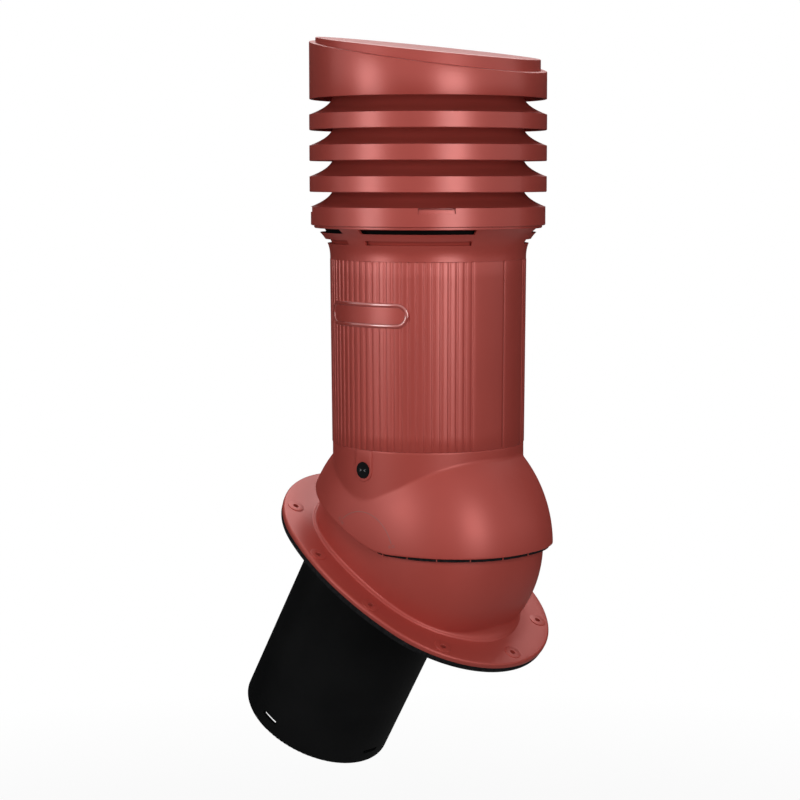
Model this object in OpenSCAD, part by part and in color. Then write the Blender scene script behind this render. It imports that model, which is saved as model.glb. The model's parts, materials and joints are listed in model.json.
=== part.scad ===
// Roof vent pipe for a pitched roof.
// A flanged base with a hollow ball foot is screwed to the roof over a lower duct. A dome
// turns on the ball, so that the insulated tube above it can be set upright. A louvred cap
// lifts off the slotted collar at the top of the tube.
// Millimetres. +Z runs up the tube and +X points down the roof. The origin lies where the
// axis of the lower duct meets the roof surface. Heights named _h are above the pivot.

/* [Roof and pivot] */
// Pitch of the roof below the base, degrees
roof_pitch = 30; // [28:1:32]
// Distance of the pivot down the roof from the duct axis
pivot_down = 30; // [28:1:32]
// Height of the pivot above the roof surface
pivot_rise = 40.5; // [39:0.5:42]

/* [Flange] */
// Radius of the flange outline at its two ends
flange_end_r = 108; // [106:1:112]
// Distance of the end centres from the middle of the flange
flange_end_c = 38; // [34:1:42]
// Distance of the side centres from the middle of the flange
flange_side_c = 116; // [100:2:130]
// Thickness of the flange plate
flange_thick = 5; // [4:0.5:6]
// Rounding of the top edge of the flange
flange_edge = 2; // [1:0.5:3]
// Inset of the raised field from the flange outline
field_inset = 28; // [26:1:29]
// Height of the raised field
field_rise = 1.5; // [0.5:0.5:2.5]
// Diameter of the pads round the screw holes
pad_d = 16; // [12:1:18]
// Height of the pads
pad_rise = 1.2; // [0.6:0.2:2]
// Diameter of the screw holes
screw_hole_d = 5; // [4:0.5:6]
// Inset of the screw holes from the flange outline
screw_inset = 10; // [9:0.5:12]
// Angle of the corner screws on the end arcs, degrees
screw_corner_a = 45; // [40:1:50]
// Angle of the side screws on the side arcs, degrees
screw_side_a = 10; // [8:1:12]
// Thickness of the sealing gasket
gasket_thick = 5.5; // [3:0.5:7]
// Inset of the gasket behind the flange outline
gasket_inset = 1.5; // [0.5:0.5:3]

/* [Ball foot] */
// Radius of the ball about the pivot axis
ball_r = 111.1; // [108:0.1:112]
// Half width of the ball along the pivot axis
ball_half_w = 86.7; // [85:0.1:88]
// Wall of the ball
ball_wall = 3; // [2.5:0.5:4]
// Height of the mouth of the ball above the pivot
mouth_h = 51.6; // [48:0.2:54]
// Lean of the mouth plane down the roof, degrees
mouth_lean = 9.6; // [6:0.2:12]
// Roundness exponent shared by the ball and the dome
body_exp = 2.23; // [2.1:0.01:2.4]
// Radius of the bearing bosses inside the ball
boss_r = 16; // [14:1:18]
// Wall of the ball outside the bearing bores
bore_cover = 2.4; // [2:0.1:3]

/* [Lower duct] */
// Outer diameter of the lower duct
duct_d = 150; // [148:1:152]
// Wall of the lower duct
duct_wall = 3.5; // [2.5:0.5:5]
// Length of the lower duct below the roof surface
duct_drop = 203.1; // [180:1:260]
// Height of the straight part of the duct above the roof surface
duct_straight = 18; // [16:1:20]
// Outer diameter of the upper spigot and of the inner duct
liner_d = 125; // [120:1:127]
// Height of the cone between the two diameters
duct_cone = 17; // [14:1:20]
// Height of the spigot end above the roof surface
spigot_end = 58.5; // [56:0.5:60]
// Rounding of the duct's lower rim
duct_rim = 1.2; // [0.5:0.1:1.6]
// Height of the slots above the lower end
duct_slot_rise = 13.6; // [10:0.2:20]
// Height of each slot
duct_slot_high = 4; // [3:0.5:6]
// Width of each slot, degrees
duct_slot_a = 14; // [10:1:20]
// Radial clearance of the duct in the flange
duct_clear = 0.15; // [0.1:0.05:0.3]
// Smaller radius of the duct at the roof, which leaves a step as a stop
duct_step = 1.5; // [1:0.1:2]
// Distance of that step below the roof surface
duct_step_drop = 8; // [6:0.5:12]
// Width of the collar that seats on the floor of the base
duct_collar_w = 4; // [3:0.5:6]
// Thickness of that collar
duct_collar_t = 3; // [2:0.5:4]

/* [Flexible hose] */
// Wall of the hose
hose_wall = 1.6; // [1.2:0.1:2.2]
// Height of the folds over the hose wall
fold_rise = 3.4; // [2:0.2:4]
// Number of folds
fold_count = 8; // [6:1:10]
// Length of each cuff
cuff_len = 15; // [13:1:16]
// Wall of the cuffs
cuff_wall = 2.8; // [2:0.2:3.2]
// Clearance of a cuff that can turn on its duct
cuff_clear = 0.3; // [0.3:0.1:0.6]
// Width of the clamp bands
clamp_w = 9; // [8:0.5:11]
// Thickness of the clamp bands
clamp_t = 1.2; // [0.8:0.1:1.6]

/* [Dome and neck] */
// Gap between the ball and the dome, square to the pivot axis
dome_gap = 9.2; // [8:0.1:11]
// Gap between the ball and the dome along the pivot axis
dome_side_gap = 4.9; // [4.5:0.1:6]
// Wall of the dome and neck
dome_wall = 3; // [2.5:0.1:3.4]
// Height of the rim on the downhill half
rim_h = 1.5; // [0:0.5:4]
// Height at which the sloping uphill rim crosses the tube axis
rim_back_h = 8.3; // [6:0.1:10]
// Slope of the uphill rim, degrees
rim_back_a = 24.4; // [22:0.2:26]
// Outer radius of the neck
neck_r = 90; // [89:0.5:91]
// Height of the shoulder that carries the tube
neck_top_h = 94.5; // [92:0.5:97]
// Overlap of the neck's spigot with the tube
neck_plug = 23; // [20:1:28]
// Spacing of the spacer ribs inside the dome
spacer_pitch = 26; // [20:1:32]
// Number of spacer ribs on each half of the dome
spacer_count = 5; // [3:2:7]
// Thickness of the spacer ribs
spacer_w = 2; // [1.5:0.5:3]
// Upper end of the downhill spacer ribs, degrees about the pivot
spacer_front_a = 9; // [7:0.5:12]
// Upper end of the uphill spacer ribs, degrees about the pivot
spacer_back_a = 140; // [136:1:148]

/* [Pivot] */
// Radius of the pivot pins
pin_r = 8; // [6:0.5:9]
// Radial running clearance of the pins
pin_clear = 0.06; // [0.03:0.01:0.1]
// Wall of the bearing bushes
bush_wall = 3; // [2:0.5:4]
// Outer radius of the friction washers
washer_r = 15; // [13:1:16]
// Thickness of the friction washers
washer_t = 1.7; // [1:0.1:2]
// Gap between the washers and the bosses
washer_gap = 0.3; // [0.2:0.1:0.5]
// Gap between the hose and the arms that carry the pins
arm_gap = 1.9; // [1:0.1:2]
// Thickness of the arms
arm_t = 3; // [2:0.5:3]
// Half width of the arms
arm_half_w = 11; // [9:1:12]
// Radius of the round ends of the arms
arm_end_r = 13; // [12:1:14]
// Height of the lower edge of the cross walls that carry the arms
arm_wall_h = 67; // [66:1:69]

/* [Release buttons] */
// Height of the buttons
button_h = 75.7; // [74:0.1:78]
// Radius of a button
button_r = 7.5; // [6:0.5:8]
// Running clearance of a button in its hole
button_clear = 0.08; // [0.05:0.01:0.1]
// Projection of a button beyond its pad
button_proud = 0.4; // [0.4:0.2:2]
// Half width of the raised pad round a button
button_pad_r = 10.25; // [9.5:0.25:11]
// Projection of the pad beyond the neck
button_pad_t = 0.8; // [0.6:0.2:1.6]
// Extra radius of the retaining flange
button_lip = 1.15; // [1:0.05:1.4]
// Thickness of the retaining flange
button_lip_t = 2; // [1.5:0.5:3]
// Wall of the spring cup
cup_wall = 2; // [1.5:0.1:2.2]
// Radius of the spring coil
spring_r = 5.2; // [4:0.2:5.6]
// Radius of the spring wire
spring_wire = 0.5; // [0.3:0.1:0.7]
// Turns of the spring
spring_turns = 5; // [4:1:7]

/* [Outer tube] */
// Outer radius of the tube at its lower end
tube_low_r = 90.5; // [90:0.1:91.2]
// Outer radius of the tube at its upper end
tube_top_r = 91.9; // [91.6:0.1:92.4]
// Height of the tube's upper end
tube_top_h = 266.1; // [250:1:300]
// Wall of the tube
tube_wall = 3; // [2.4:0.1:3.1]
// Pitch of the upright ribs, degrees
rib_pitch = 4.6; // [4:0.1:6]
// Width of a rib, degrees
rib_a = 2.4; // [1.6:0.1:3]
// Height of a rib
rib_rise = 0.7; // [0.4:0.1:1]
// Half angle of the smooth fields at the front and back, degrees
smooth_a = 22; // [18:1:28]
// Height of the middle of the badge plate
badge_h = 217.75; // [200:0.25:235]
// Height of the badge plate
badge_high = 22.5; // [18:0.5:26]
// Length of the badge plate across the tube
badge_long = 88; // [70:1:96]
// Thickness of the badge plate
badge_t = 1.6; // [1:0.1:2.4]

/* [Insulated liner] */
// Wall of the inner duct
liner_wall = 2.5; // [2:0.5:3.5]
// Height of the upper end of the inner duct
liner_top_h = 300; // [285:1:310]
// Gap between the insulation and the tube
insulation_gap = 1; // [0.5:0.5:3]
// Thickness of the two support rings
support_t = 4; // [3:0.5:6]

/* [Slotted collar] */
// Length of the collar's plug inside the tube
collar_plug = 16; // [12:1:20]
// Wall of the slotted collar
collar_wall = 2.5; // [2:0.1:2.9]
// Outer radius of the straight foot of the collar
collar_foot_r = 91.7; // [91.5:0.1:92.2]
// Rise of the flare above the tube
collar_flare = 29.3; // [27:0.5:32]
// Outer radius of the collar's upper edge
collar_top_r = 106.5; // [104:0.5:107]
// Height of the upper row of slots above the tube
slot_high_rise = 24.6; // [23:0.2:25.5]
// Height of the lower row of slots above the tube
slot_low_rise = 14.3; // [12:0.2:16]
// Height of the upper slots
slot_high = 4.1; // [3:0.1:4.6]
// Height of the lower slots
slot_low = 5.1; // [4:0.1:6]
// Number of slots in each quarter of a row
slot_count = 4; // [3:1:5]
// Bar between two slots, degrees
slot_bar = 3; // [2:0.5:5]
// Bar on the pivot side of the collar, degrees
slot_side_bar = 13; // [10:1:16]
// Lip of the collar above the flare
collar_lip = 2; // [1:0.5:3]

/* [Louvres] */
// Outer radius of the collar ring
ring_r = 109.5; // [109:0.1:110.2]
// Height of the collar ring's band
ring_high = 17; // [16:0.5:19]
// Outer radius of the louvre bands
band_r = 110.6; // [110:0.1:112]
// Height of a louvre band
band_high = 14.25; // [13:0.25:15]
// Gap between two bands
band_gap = 14.25; // [13:0.25:15]
// Gap above the collar ring
first_gap = 13.7; // [13:0.1:15]
// Outer radius of the throat behind the next band
throat_r = 88; // [86:0.5:90]
// Rise of the funnel from a band to the throat
funnel_rise = 17.5; // [16:0.5:18]
// Wall of the louvre rings
ring_wall = 2.4; // [2:0.1:2.8]
// Angle of a latch window, degrees
window_a = 17.5; // [12:0.5:22]
// Height of a latch window
window_high = 5; // [4:0.5:6]
// Clearance of a latch tab in its window, degrees
tab_clear_a = 0.5; // [0.3:0.1:1]
// Thickness of a latch tab
tab_t = 2.2; // [1.6:0.2:2.4]

/* [Cap] */
// Smaller radius of the cap's skirt than of the bands under it
cap_less = 0.2; // [0:0.1:1]
// Height of the ledge where it crosses the tube axis, above the skirt's lower edge
cap_ledge = 39.4; // [36:0.2:44]
// Height of the raised top above the ledge
cap_step = 8.6; // [6:0.2:10]
// Inset of the raised top
cap_inset = 5.9; // [4:0.1:8]
// Fall of the cap's top down the roof, degrees
cap_fall = 8.8; // [6:0.2:10]
// Wall of the cap
cap_wall = 2.6; // [2:0.1:3.2]
// Number of tie rods
rod_count = 4; // [3:1:6]
// Radius of a tie rod
rod_r = 2.5; // [2:0.25:3]
// Distance of the rods from the tube axis
rod_circle = 79; // [77:0.5:80]
// Clearance of a rod in its holes
rod_clear = 0.1; // [0.05:0.05:0.2]
// Outer radius of a spacer sleeve
sleeve_r = 5; // [4.5:0.5:6]
// Thickness of a lug
lug_t = 3; // [2:0.5:4]
// Half width of a lug
lug_half_w = 6; // [5:0.5:7]
// Depth of the rods in the cap's bosses
rod_grip = 14; // [10:1:16]

/* [Hidden] */
$fn = 96;

// Smallest step used to let a cut run past a face
eps = 0.5;
// Side of the blocks that cut half spaces away
big = 600;

brick = [0.66, 0.29, 0.27];
black = [0.08, 0.08, 0.09];
steel = [0.72, 0.73, 0.75];
galvanised = [0.66, 0.68, 0.70];
wool = [0.80, 0.74, 0.55];

// Pivot in the object's frame
pivot_x = pivot_down * cos(roof_pitch) + pivot_rise * sin(roof_pitch);
pivot_z = pivot_rise * cos(roof_pitch) - pivot_down * sin(roof_pitch);

// Where the axis of the lower duct meets the tube axis, and the bend of the hose there
cross_len = pivot_x / sin(roof_pitch);
cross_h = cross_len * cos(roof_pitch) - pivot_z;
bend_len = cross_len - spigot_end;
bend_r = bend_len / tan(roof_pitch / 2);
bend_top_h = cross_h + bend_len;

duct_r = duct_d / 2;
liner_r = liner_d / 2;
plate_top = gasket_thick + flange_thick;
floor_top = plate_top - 1.5;

// Flange outline: two end arcs and two side arcs that meet at a common tangent
flange_side_r = flange_end_r + norm([flange_end_c, flange_side_c]);
outline_a = atan2(flange_side_c, flange_end_c);

ball_in_r = ball_r - ball_wall;
ball_in_half_w = ball_half_w - ball_wall;
// Radius of the dome about the pivot axis, and its half width along that axis
dome_in_r = ball_r + dome_gap;
dome_in_half_w = ball_half_w + dome_side_gap;
dome_r = dome_in_r + dome_wall;
dome_half_w = dome_in_half_w + dome_wall;
neck_in_r = neck_r - dome_wall;

// Neck spigot inside the tube
plug_r = tube_low_r - tube_wall - 0.2;
plug_in_r = plug_r - dome_wall;
plug_top_h = max(neck_top_h + neck_plug, bend_top_h + cuff_len + 8);

// Arms, washers, bosses and bores along the pivot axis
fold_r = liner_r + 0.1 + hose_wall + fold_rise;
arm_in_y = fold_r + arm_gap;
arm_out_y = arm_in_y + arm_t;
boss_in_y = arm_out_y + washer_t + washer_gap;
bore_end_y = ball_half_w - bore_cover;

button_out = neck_r + button_pad_t + button_proud;
lip_out = sqrt(pow(neck_in_r, 2) - pow(button_r + button_lip, 2)) - 0.35;
cup_r = button_r + button_lip + 0.35;
cup_floor = arm_out_y + cup_wall;

liner_low_h = bend_top_h + 2;
insulation_low_h = plug_top_h + support_t;
insulation_top_h = tube_top_h - collar_plug - support_t;
insulation_r = tube_low_r - tube_wall - insulation_gap;
collar_plug_r = tube_top_r - tube_wall - 0.7;
support_top_r = collar_plug_r;

flare_top_h = tube_top_h + collar_flare;
ring_low_h = flare_top_h + collar_lip;
ring_top_h = ring_low_h + ring_high;
band_low_h = [for (i = [0:3]) ring_top_h + first_gap + i * (band_high + band_gap)];
band_top_h = [for (h = band_low_h) h + band_high];
lug_top_h = concat([ring_top_h + funnel_rise], [for (i = [0:2]) band_top_h[i] + funnel_rise]);
cap_low_h = band_low_h[3];
cap_r = band_r - cap_less;
ledge_h = cap_low_h + cap_ledge;
cap_top_h = ledge_h + cap_step;

// A quarter turn apart, starting on the down-roof side
rod_angles = [for (i = [0:rod_count - 1]) i * 360 / rod_count];
latch_angles = [45, 135, 225, 315];

// Frames in which the pieces are drawn
module on_roof() { rotate([0, roof_pitch, 0]) children(); }
module on_pivot() { translate([pivot_x, 0, pivot_z]) children(); }
module about_y() { rotate([-90, 0, 0]) children(); }
module both_sides() { children(); mirror([0, 1, 0]) children(); }

// Part of a turn about the pivot axis, from angle a0 to a1, measured from +X towards +Z
module sweep_y(a0, a1) { about_y() rotate([0, 0, -a1]) rotate_extrude(angle = a1 - a0) children(); }

// Part of a turn about the tube axis, centred on angle a
module sector(a, width) { rotate([0, 0, a - width / 2]) rotate_extrude(angle = width) children(); }

module tube(r_out, r_in, z0, z1) {
    translate([0, 0, z0]) difference() {
        cylinder(r = r_out, h = z1 - z0);
        translate([0, 0, -eps]) cylinder(r = r_in, h = z1 - z0 + 2 * eps);
    }
}

// Everything above a plane that crosses the axis at height h and falls towards +X
module above(h, fall) {
    translate([0, 0, h]) rotate([0, fall, 0]) translate([-big / 2, -big / 2, 0]) cube(big);
}

module below(h, fall) {
    translate([0, 0, h]) rotate([0, fall, 0]) translate([-big / 2, -big / 2, -big]) cube(big);
}

// Profile of a rounded body of revolution about the pivot axis, with its flat poles
function body_profile(r, w, n = 36) = [for (i = [0:n])
    let(a = -90 + 180 * i / n)
    [r * pow(cos(a), 2 / body_exp), w * sign(a) * pow(abs(sin(a)), 2 / body_exp)]];

// Radius of such a body at the distance y along the pivot axis
function body_radius(r, w, y) = r * pow(1 - pow(abs(y) / w, body_exp), 1 / body_exp);

module body(r, w) { about_y() rotate_extrude() polygon(body_profile(r, w)); }

// Flange outline, moved inward by d
module oval(d = 0) {
    join_x = flange_end_c + (flange_end_r - d) * cos(outline_a);
    for (side = [-1, 1])
        translate([side * flange_end_c, 0]) circle(r = flange_end_r - d);
    intersection() {
        translate([0, -flange_side_c]) circle(r = flange_side_r - d);
        translate([0, flange_side_c]) circle(r = flange_side_r - d);
        square([2 * join_x, 2 * flange_end_r + flange_side_c], center = true);
    }
}

// Plate with the flange outline, inset by d, whose top edge is rounded in three steps
module oval_plate(d, z0, z1, edge) {
    hull() for (a = [0, 30, 60, 90])
        translate([0, 0, z0]) linear_extrude(z1 - z0 - edge * (1 - sin(a)))
            oval(d + edge * (1 - cos(a)));
}

// Puts its children at the ten screw places
module at_screws() {
    r_end = flange_end_r - screw_inset;
    r_side = flange_side_r - screw_inset;
    for (side = [0, 180]) rotate([0, 0, side]) {
        for (a = [-screw_corner_a, 0, screw_corner_a])
            translate([flange_end_c + r_end * cos(a), r_end * sin(a), 0]) children();
        for (a = [-screw_side_a, screw_side_a])
            translate([r_side * sin(a), r_side * cos(a) - flange_side_c, 0]) children();
    }
}

// Base plate with the ball foot, the raised field, the screw pads and the bearing bosses
module roof_flange() {
    color(brick) on_roof() difference() {
        union() {
            translate([pivot_down, 0, 0]) {
                difference() {
                    union() {
                        oval_plate(0, gasket_thick, plate_top, flange_edge);
                        oval_plate(field_inset, plate_top - 1, plate_top + field_rise, field_rise);
                        at_screws() translate([0, 0, plate_top - 1])
                            cylinder(r = pad_d / 2, h = pad_rise + 1);
                    }
                    ball_cavity();
                }
                ball_shell();
                both_sides() bearing_boss();
            }
        }
        translate([0, 0, -eps]) cylinder(r = duct_r + duct_clear, h = pivot_rise);
        translate([pivot_down, 0, 0]) at_screws() cylinder(d = screw_hole_d, h = 3 * plate_top);
        translate([pivot_down, 0, pivot_rise]) about_y()
            cylinder(r = pin_r + bush_wall, h = 2 * bore_end_y, center = true);
    }
}

// Room inside the ball, down to the floor of the base
module ball_cavity() {
    difference() {
        translate([0, 0, pivot_rise]) body(ball_in_r, ball_in_half_w);
        translate([0, 0, floor_top - big / 2]) cube(big, center = true);
    }
}

module ball_shell() {
    difference() {
        translate([0, 0, pivot_rise]) difference() {
            body(ball_r, ball_half_w);
            body(ball_in_r, ball_in_half_w);
            rotate([0, -roof_pitch, 0]) above(mouth_h, mouth_lean);
        }
        translate([0, 0, plate_top - 1 - big / 2]) cube(big, center = true);
    }
}

module bearing_boss() {
    translate([0, boss_in_y, pivot_rise]) about_y()
        cylinder(r = boss_r, h = ball_half_w - 1.5 - boss_in_y);
}

// Foam gasket between the flange and the roof
module roof_gasket() {
    color(black) on_roof() difference() {
        translate([pivot_down, 0, 0]) linear_extrude(gasket_thick) oval(gasket_inset);
        translate([0, 0, -eps]) cylinder(r = duct_r + duct_clear, h = gasket_thick + 2 * eps);
        translate([pivot_down, 0, -eps]) at_screws() cylinder(d = screw_hole_d, h = 2 * gasket_thick);
    }
}

// Duct through the roof, reduced to a spigot for the hose inside the base
module lower_duct() {
    cone_top = duct_straight + duct_cone;
    collar_a = 150;
    top_r = duct_r - duct_step;
    color(black) on_roof() difference() {
        union() {
            rotate_extrude() difference() {
                union() {
                    translate([0, duct_rim - duct_drop])
                        square([duct_r, duct_drop - duct_rim - duct_step_drop]);
                    translate([0, -duct_step_drop - eps])
                        square([top_r, duct_straight + duct_step_drop + eps]);
                    translate([0, -duct_drop]) square([duct_r - duct_rim, duct_rim]);
                    translate([duct_r - duct_rim, duct_rim - duct_drop])
                        circle(r = duct_rim, $fn = 32);
                    polygon([[0, duct_straight], [top_r, duct_straight],
                        [liner_r, cone_top], [liner_r, spigot_end], [0, spigot_end]]);
                }
                polygon([[0, -duct_drop - eps], [duct_r - duct_wall, -duct_drop - eps],
                    [duct_r - duct_wall, duct_straight], [liner_r - duct_wall, cone_top],
                    [liner_r - duct_wall, spigot_end + eps], [0, spigot_end + eps]]);
            }
            sector(0, collar_a) translate([top_r - 1, floor_top])
                square([duct_r + duct_collar_w - top_r + 1, duct_collar_t]);
        }
        for (a = [0:90:270]) sector(a, duct_slot_a)
            translate([duct_r - duct_wall - 2, duct_slot_rise - duct_drop - duct_slot_high / 2])
                square([duct_wall + 4, duct_slot_high]);
    }
}

// Bearing bushes of the pivot, pressed into the ball
module pivot_bushes() {
    color(black) on_pivot() both_sides() translate([0, boss_in_y, 0]) about_y()
        tube(pin_r + bush_wall, pin_r + pin_clear, 0, bore_end_y - boss_in_y);
}

// Flexible hose between the lower duct and the inner duct, bent at rest by the roof pitch
module flex_hose() {
    hose_in = liner_r + 0.1;
    fold_a = roof_pitch / (2 * fold_count);
    color(black) {
        on_roof() tube(hose_in + cuff_wall, hose_in, spigot_end - cuff_len, spigot_end + eps);
        on_pivot() translate([0, 0, bend_top_h])
            tube(hose_in + cuff_clear + cuff_wall, hose_in + cuff_clear, -eps, cuff_len);
        on_pivot() translate([-bend_r, 0, bend_top_h]) {
            sweep_y(-roof_pitch, 0) translate([bend_r, 0]) difference() {
                circle(r = hose_in + hose_wall);
                circle(r = hose_in - 1);
            }
            for (i = [0:fold_count - 1]) let(a = -roof_pitch + (2 * i + 0.5) * fold_a)
                sweep_y(a, a + fold_a) translate([bend_r, 0]) difference() {
                    circle(r = hose_in + hose_wall + fold_rise);
                    circle(r = hose_in);
                }
        }
    }
}

// Worm-drive clamp: band, screw housing and screw
module hose_clamp(r) {
    tube(r + clamp_t, r, 0, clamp_w);
    difference() {
        union() {
            translate([r + 0.2, -9, 0.5]) cube([6.5, 18, clamp_w - 1]);
            translate([r + 4.2, -14, clamp_w / 2]) about_y() cylinder(r = 3.4, h = 26, $fn = 48);
        }
        translate([r + 4.2, -15, clamp_w / 2 - 0.5]) cube([8, 3, 1], center = true);
    }
}

module lower_clamp() {
    color(steel) on_roof() translate([0, 0, spigot_end - cuff_len / 2 - clamp_w / 2])
        rotate([0, 0, 20]) hose_clamp(liner_r + 0.1 + cuff_wall + 0.05);
}

module upper_clamp() {
    color(steel) on_pivot() translate([0, 0, bend_top_h + cuff_len / 2 - clamp_w / 2])
        rotate([0, 0, 20]) hose_clamp(liner_r + 0.1 + cuff_wall + 2 * cuff_clear);
}

// Upright pill outline on the front of the neck and tube, cut to the radius range given
module front_pill(r_out, r_in, half_w, h0, h1) {
    intersection() {
        tube(r_out, r_in, h0 - half_w - eps, h1 + eps);
        union() {
            translate([0, 0, h0 + half_w]) rotate([90, 0, 0]) cylinder(r = half_w, h = big);
            translate([-half_w, -big, h0 + half_w]) cube([2 * half_w, big, h1 - h0 - half_w]);
        }
    }
}

// Dome, neck, spigot for the tube, button pads, bearing sockets and spacer ribs
module pitch_dome() {
    color(brick) on_pivot() difference() {
        union() {
            difference() {
                union() {
                    difference() {
                        body(dome_r, dome_half_w);
                        above(neck_top_h - 6, 0);
                    }
                    cylinder(r = neck_r, h = neck_top_h);
                    translate([0, 0, neck_top_h - 8]) cylinder(r = plug_r, h = plug_top_h - neck_top_h + 8);
                }
                body(dome_in_r, dome_in_half_w);
                cylinder(r = neck_in_r, h = neck_top_h - 6);
                cylinder(r = plug_in_r, h = plug_top_h + eps);
            }
            both_sides() {
                front_pill(neck_r + button_pad_t, neck_r - 1, button_pad_r,
                    button_h - button_pad_r, neck_top_h);
            }
            for (i = [0:spacer_count - 1]) spacer_rib((i - (spacer_count - 1) / 2) * spacer_pitch);
        }
        below(rim_h, 0);
        below(rim_back_h, rim_back_a);
        both_sides() {
            translate([0, -neck_r - 10, button_h]) about_y()
                cylinder(r = button_r + button_clear, h = 15);
        }
    }
    color(brick) on_pivot() both_sides() bearing_arm();
}

// Wall across the neck, with the arm that reaches down through the mouth to the pivot
module bearing_arm() {
    difference() {
        intersection() {
            translate([0, arm_out_y, 0]) rotate([90, 0, 0]) linear_extrude(arm_t) {
                circle(r = arm_end_r);
                translate([-arm_half_w, 0]) square([2 * arm_half_w, arm_wall_h + 1]);
                translate([-neck_r, arm_wall_h]) square([2 * neck_r, neck_top_h - 6 - arm_wall_h]);
            }
            translate([0, 0, -arm_end_r - 1]) cylinder(r = neck_in_r + 1, h = neck_top_h + arm_end_r);
        }
        translate([0, arm_in_y - eps, 0]) about_y() cylinder(r = pin_r, h = arm_t + 2 * eps);
    }
}

// Upright rib that holds the dome's rim off the ball on the downhill and uphill sides
module spacer_rib(y) {
    inner = body_radius(ball_r, ball_half_w, abs(y) - spacer_w / 2) + 0.4;
    outer = body_radius(dome_in_r, dome_in_half_w, y) + 1;
    for (span = [[-2, spacer_front_a], [spacer_back_a, 160]]) sweep_y(span[0], span[1])
        translate([inner, y - spacer_w / 2]) square([outer - inner, spacer_w]);
}

// Pins on which the dome turns
module pivot_pins() {
    color(steel) on_pivot() both_sides() translate([0, arm_in_y, 0]) about_y()
        cylinder(r = pin_r, h = bore_end_y - 0.3 - arm_in_y);
}

// Washers that hold the dome at the angle it is set to
module friction_washers() {
    color(black) on_pivot() both_sides() translate([0, arm_out_y, 0]) about_y()
        tube(washer_r, pin_r, 0, washer_t);
}

// Cups behind the buttons that guide and back the springs
module spring_cups() {
    color(brick) on_pivot() both_sides() intersection() {
        translate([0, -neck_in_r - 5, button_h]) about_y() difference() {
            cylinder(r = cup_r + cup_wall, h = neck_in_r + 5 - arm_out_y);
            translate([0, 0, -eps]) cylinder(r = cup_r, h = neck_in_r + 5 - cup_floor + eps);
        }
        cylinder(r = neck_in_r, h = neck_top_h);
    }
}

module button() {
    translate([0, -button_out, button_h]) about_y() {
        cylinder(r = button_r, h = button_out - lip_out + eps);
        translate([0, 0, button_out - lip_out])
            cylinder(r = button_r + button_lip, h = button_lip_t);
        cylinder(r = spring_r - 1.5, h = button_out - lip_out + button_lip_t + 3);
    }
}

module button_front() { color(black) on_pivot() button(); }
module button_rear() { color(black) on_pivot() mirror([0, 1, 0]) button(); }

// Wire along a coil: rings of points about the coil's path, closed at both ends
module coil(r, wire, turns, length, steps = 14, sides = 6) {
    n = turns * steps;
    rings = [for (i = [0:n]) let(a = 360 * i / steps, z = wire + (length - 2 * wire) * i / n)
        [for (j = [0:sides - 1]) let(b = 360 * j / sides, rr = r + wire * cos(b))
            [rr * cos(a), rr * sin(a), z + wire * sin(b)]]];
    points = [for (ring = rings) for (p = ring) p];
    sides_faces = [for (i = [0:n - 1]) for (j = [0:sides - 1])
        let(k = (j + 1) % sides)
        [i * sides + j, (i + 1) * sides + j, (i + 1) * sides + k, i * sides + k]];
    first = [[for (j = [0:sides - 1]) j]];
    last = [[for (j = [sides - 1:-1:0]) n * sides + j]];
    polyhedron(points, concat(sides_faces, first, last), convexity = 6);
}

module button_spring() {
    translate([0, -cup_floor, button_h]) rotate([90, 0, 0])
        coil(spring_r, spring_wire, spring_turns, lip_out - button_lip_t - cup_floor);
}

module button_spring_front() { color(steel) on_pivot() button_spring(); }
module button_spring_rear() { color(steel) on_pivot() mirror([0, 1, 0]) button_spring(); }

// Plain conical wall of the outer tube between two radii measured from its surface
module tube_cone(d_out, d_in) {
    h = tube_top_h - neck_top_h;
    translate([0, 0, neck_top_h]) difference() {
        cylinder(r1 = tube_low_r + d_out, r2 = tube_top_r + d_out, h = h);
        translate([0, 0, -0.01])
            cylinder(r1 = tube_low_r + d_in, r2 = tube_top_r + d_in, h = h + 0.02);
    }
}

// Outline of the badge plate, seen from the pivot side
module badge_outline(grow = 0) {
    reach = badge_long / 2 - badge_high / 2;
    translate([0, 0, badge_h]) rotate([90, 0, 0]) {
        for (side = [-1, 1]) translate([side * reach, 0, 0])
            cylinder(d = badge_high + 2 * grow, h = big);
        translate([-reach, -badge_high / 2 - grow, 0])
            cube([2 * reach, badge_high + 2 * grow, big]);
    }
}

// Ribbed outer tube with smooth fields at its front and back
module outer_tube() {
    ribs = floor((180 - 2 * smooth_a) / rib_pitch);
    color(brick) on_pivot() {
        tube_cone(0, -tube_wall);
        difference() {
            for (side = [90, 270]) for (i = [0:ribs])
                sector(side + (i - ribs / 2) * rib_pitch, rib_a) rib_profile();
            badge_outline(0.3);
        }
    }
}

module rib_profile() {
    polygon([[tube_low_r - 1, neck_top_h], [tube_low_r + rib_rise, neck_top_h],
        [tube_top_r + rib_rise, tube_top_h], [tube_top_r - 1, tube_top_h]]);
}

// Bare plate with round ends on the front of the tube
module badge_plate() {
    color(brick) on_pivot() intersection() {
        tube_cone(badge_t, 0);
        badge_outline();
    }
}

// Ring that closes the insulated space at its lower end and centres the inner duct
module lower_support_ring() {
    color(galvanised) on_pivot() tube(plug_r, liner_r, plug_top_h, insulation_low_h);
}

module inner_duct() {
    color(galvanised) on_pivot() tube(liner_r, liner_r - liner_wall, liner_low_h, liner_top_h);
}

module insulation_sleeve() {
    color(wool) on_pivot() tube(insulation_r, liner_r, insulation_low_h, insulation_top_h);
}

module upper_support_ring() {
    color(galvanised) on_pivot()
        tube(support_top_r, liner_r, insulation_top_h, insulation_top_h + support_t);
}

// Outer radius of the flare at the height z above the tube: slow at first, then wide
function flare_r(z) = collar_foot_r + (collar_top_r - collar_foot_r) * pow(z / collar_flare, 2.6);

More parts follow.
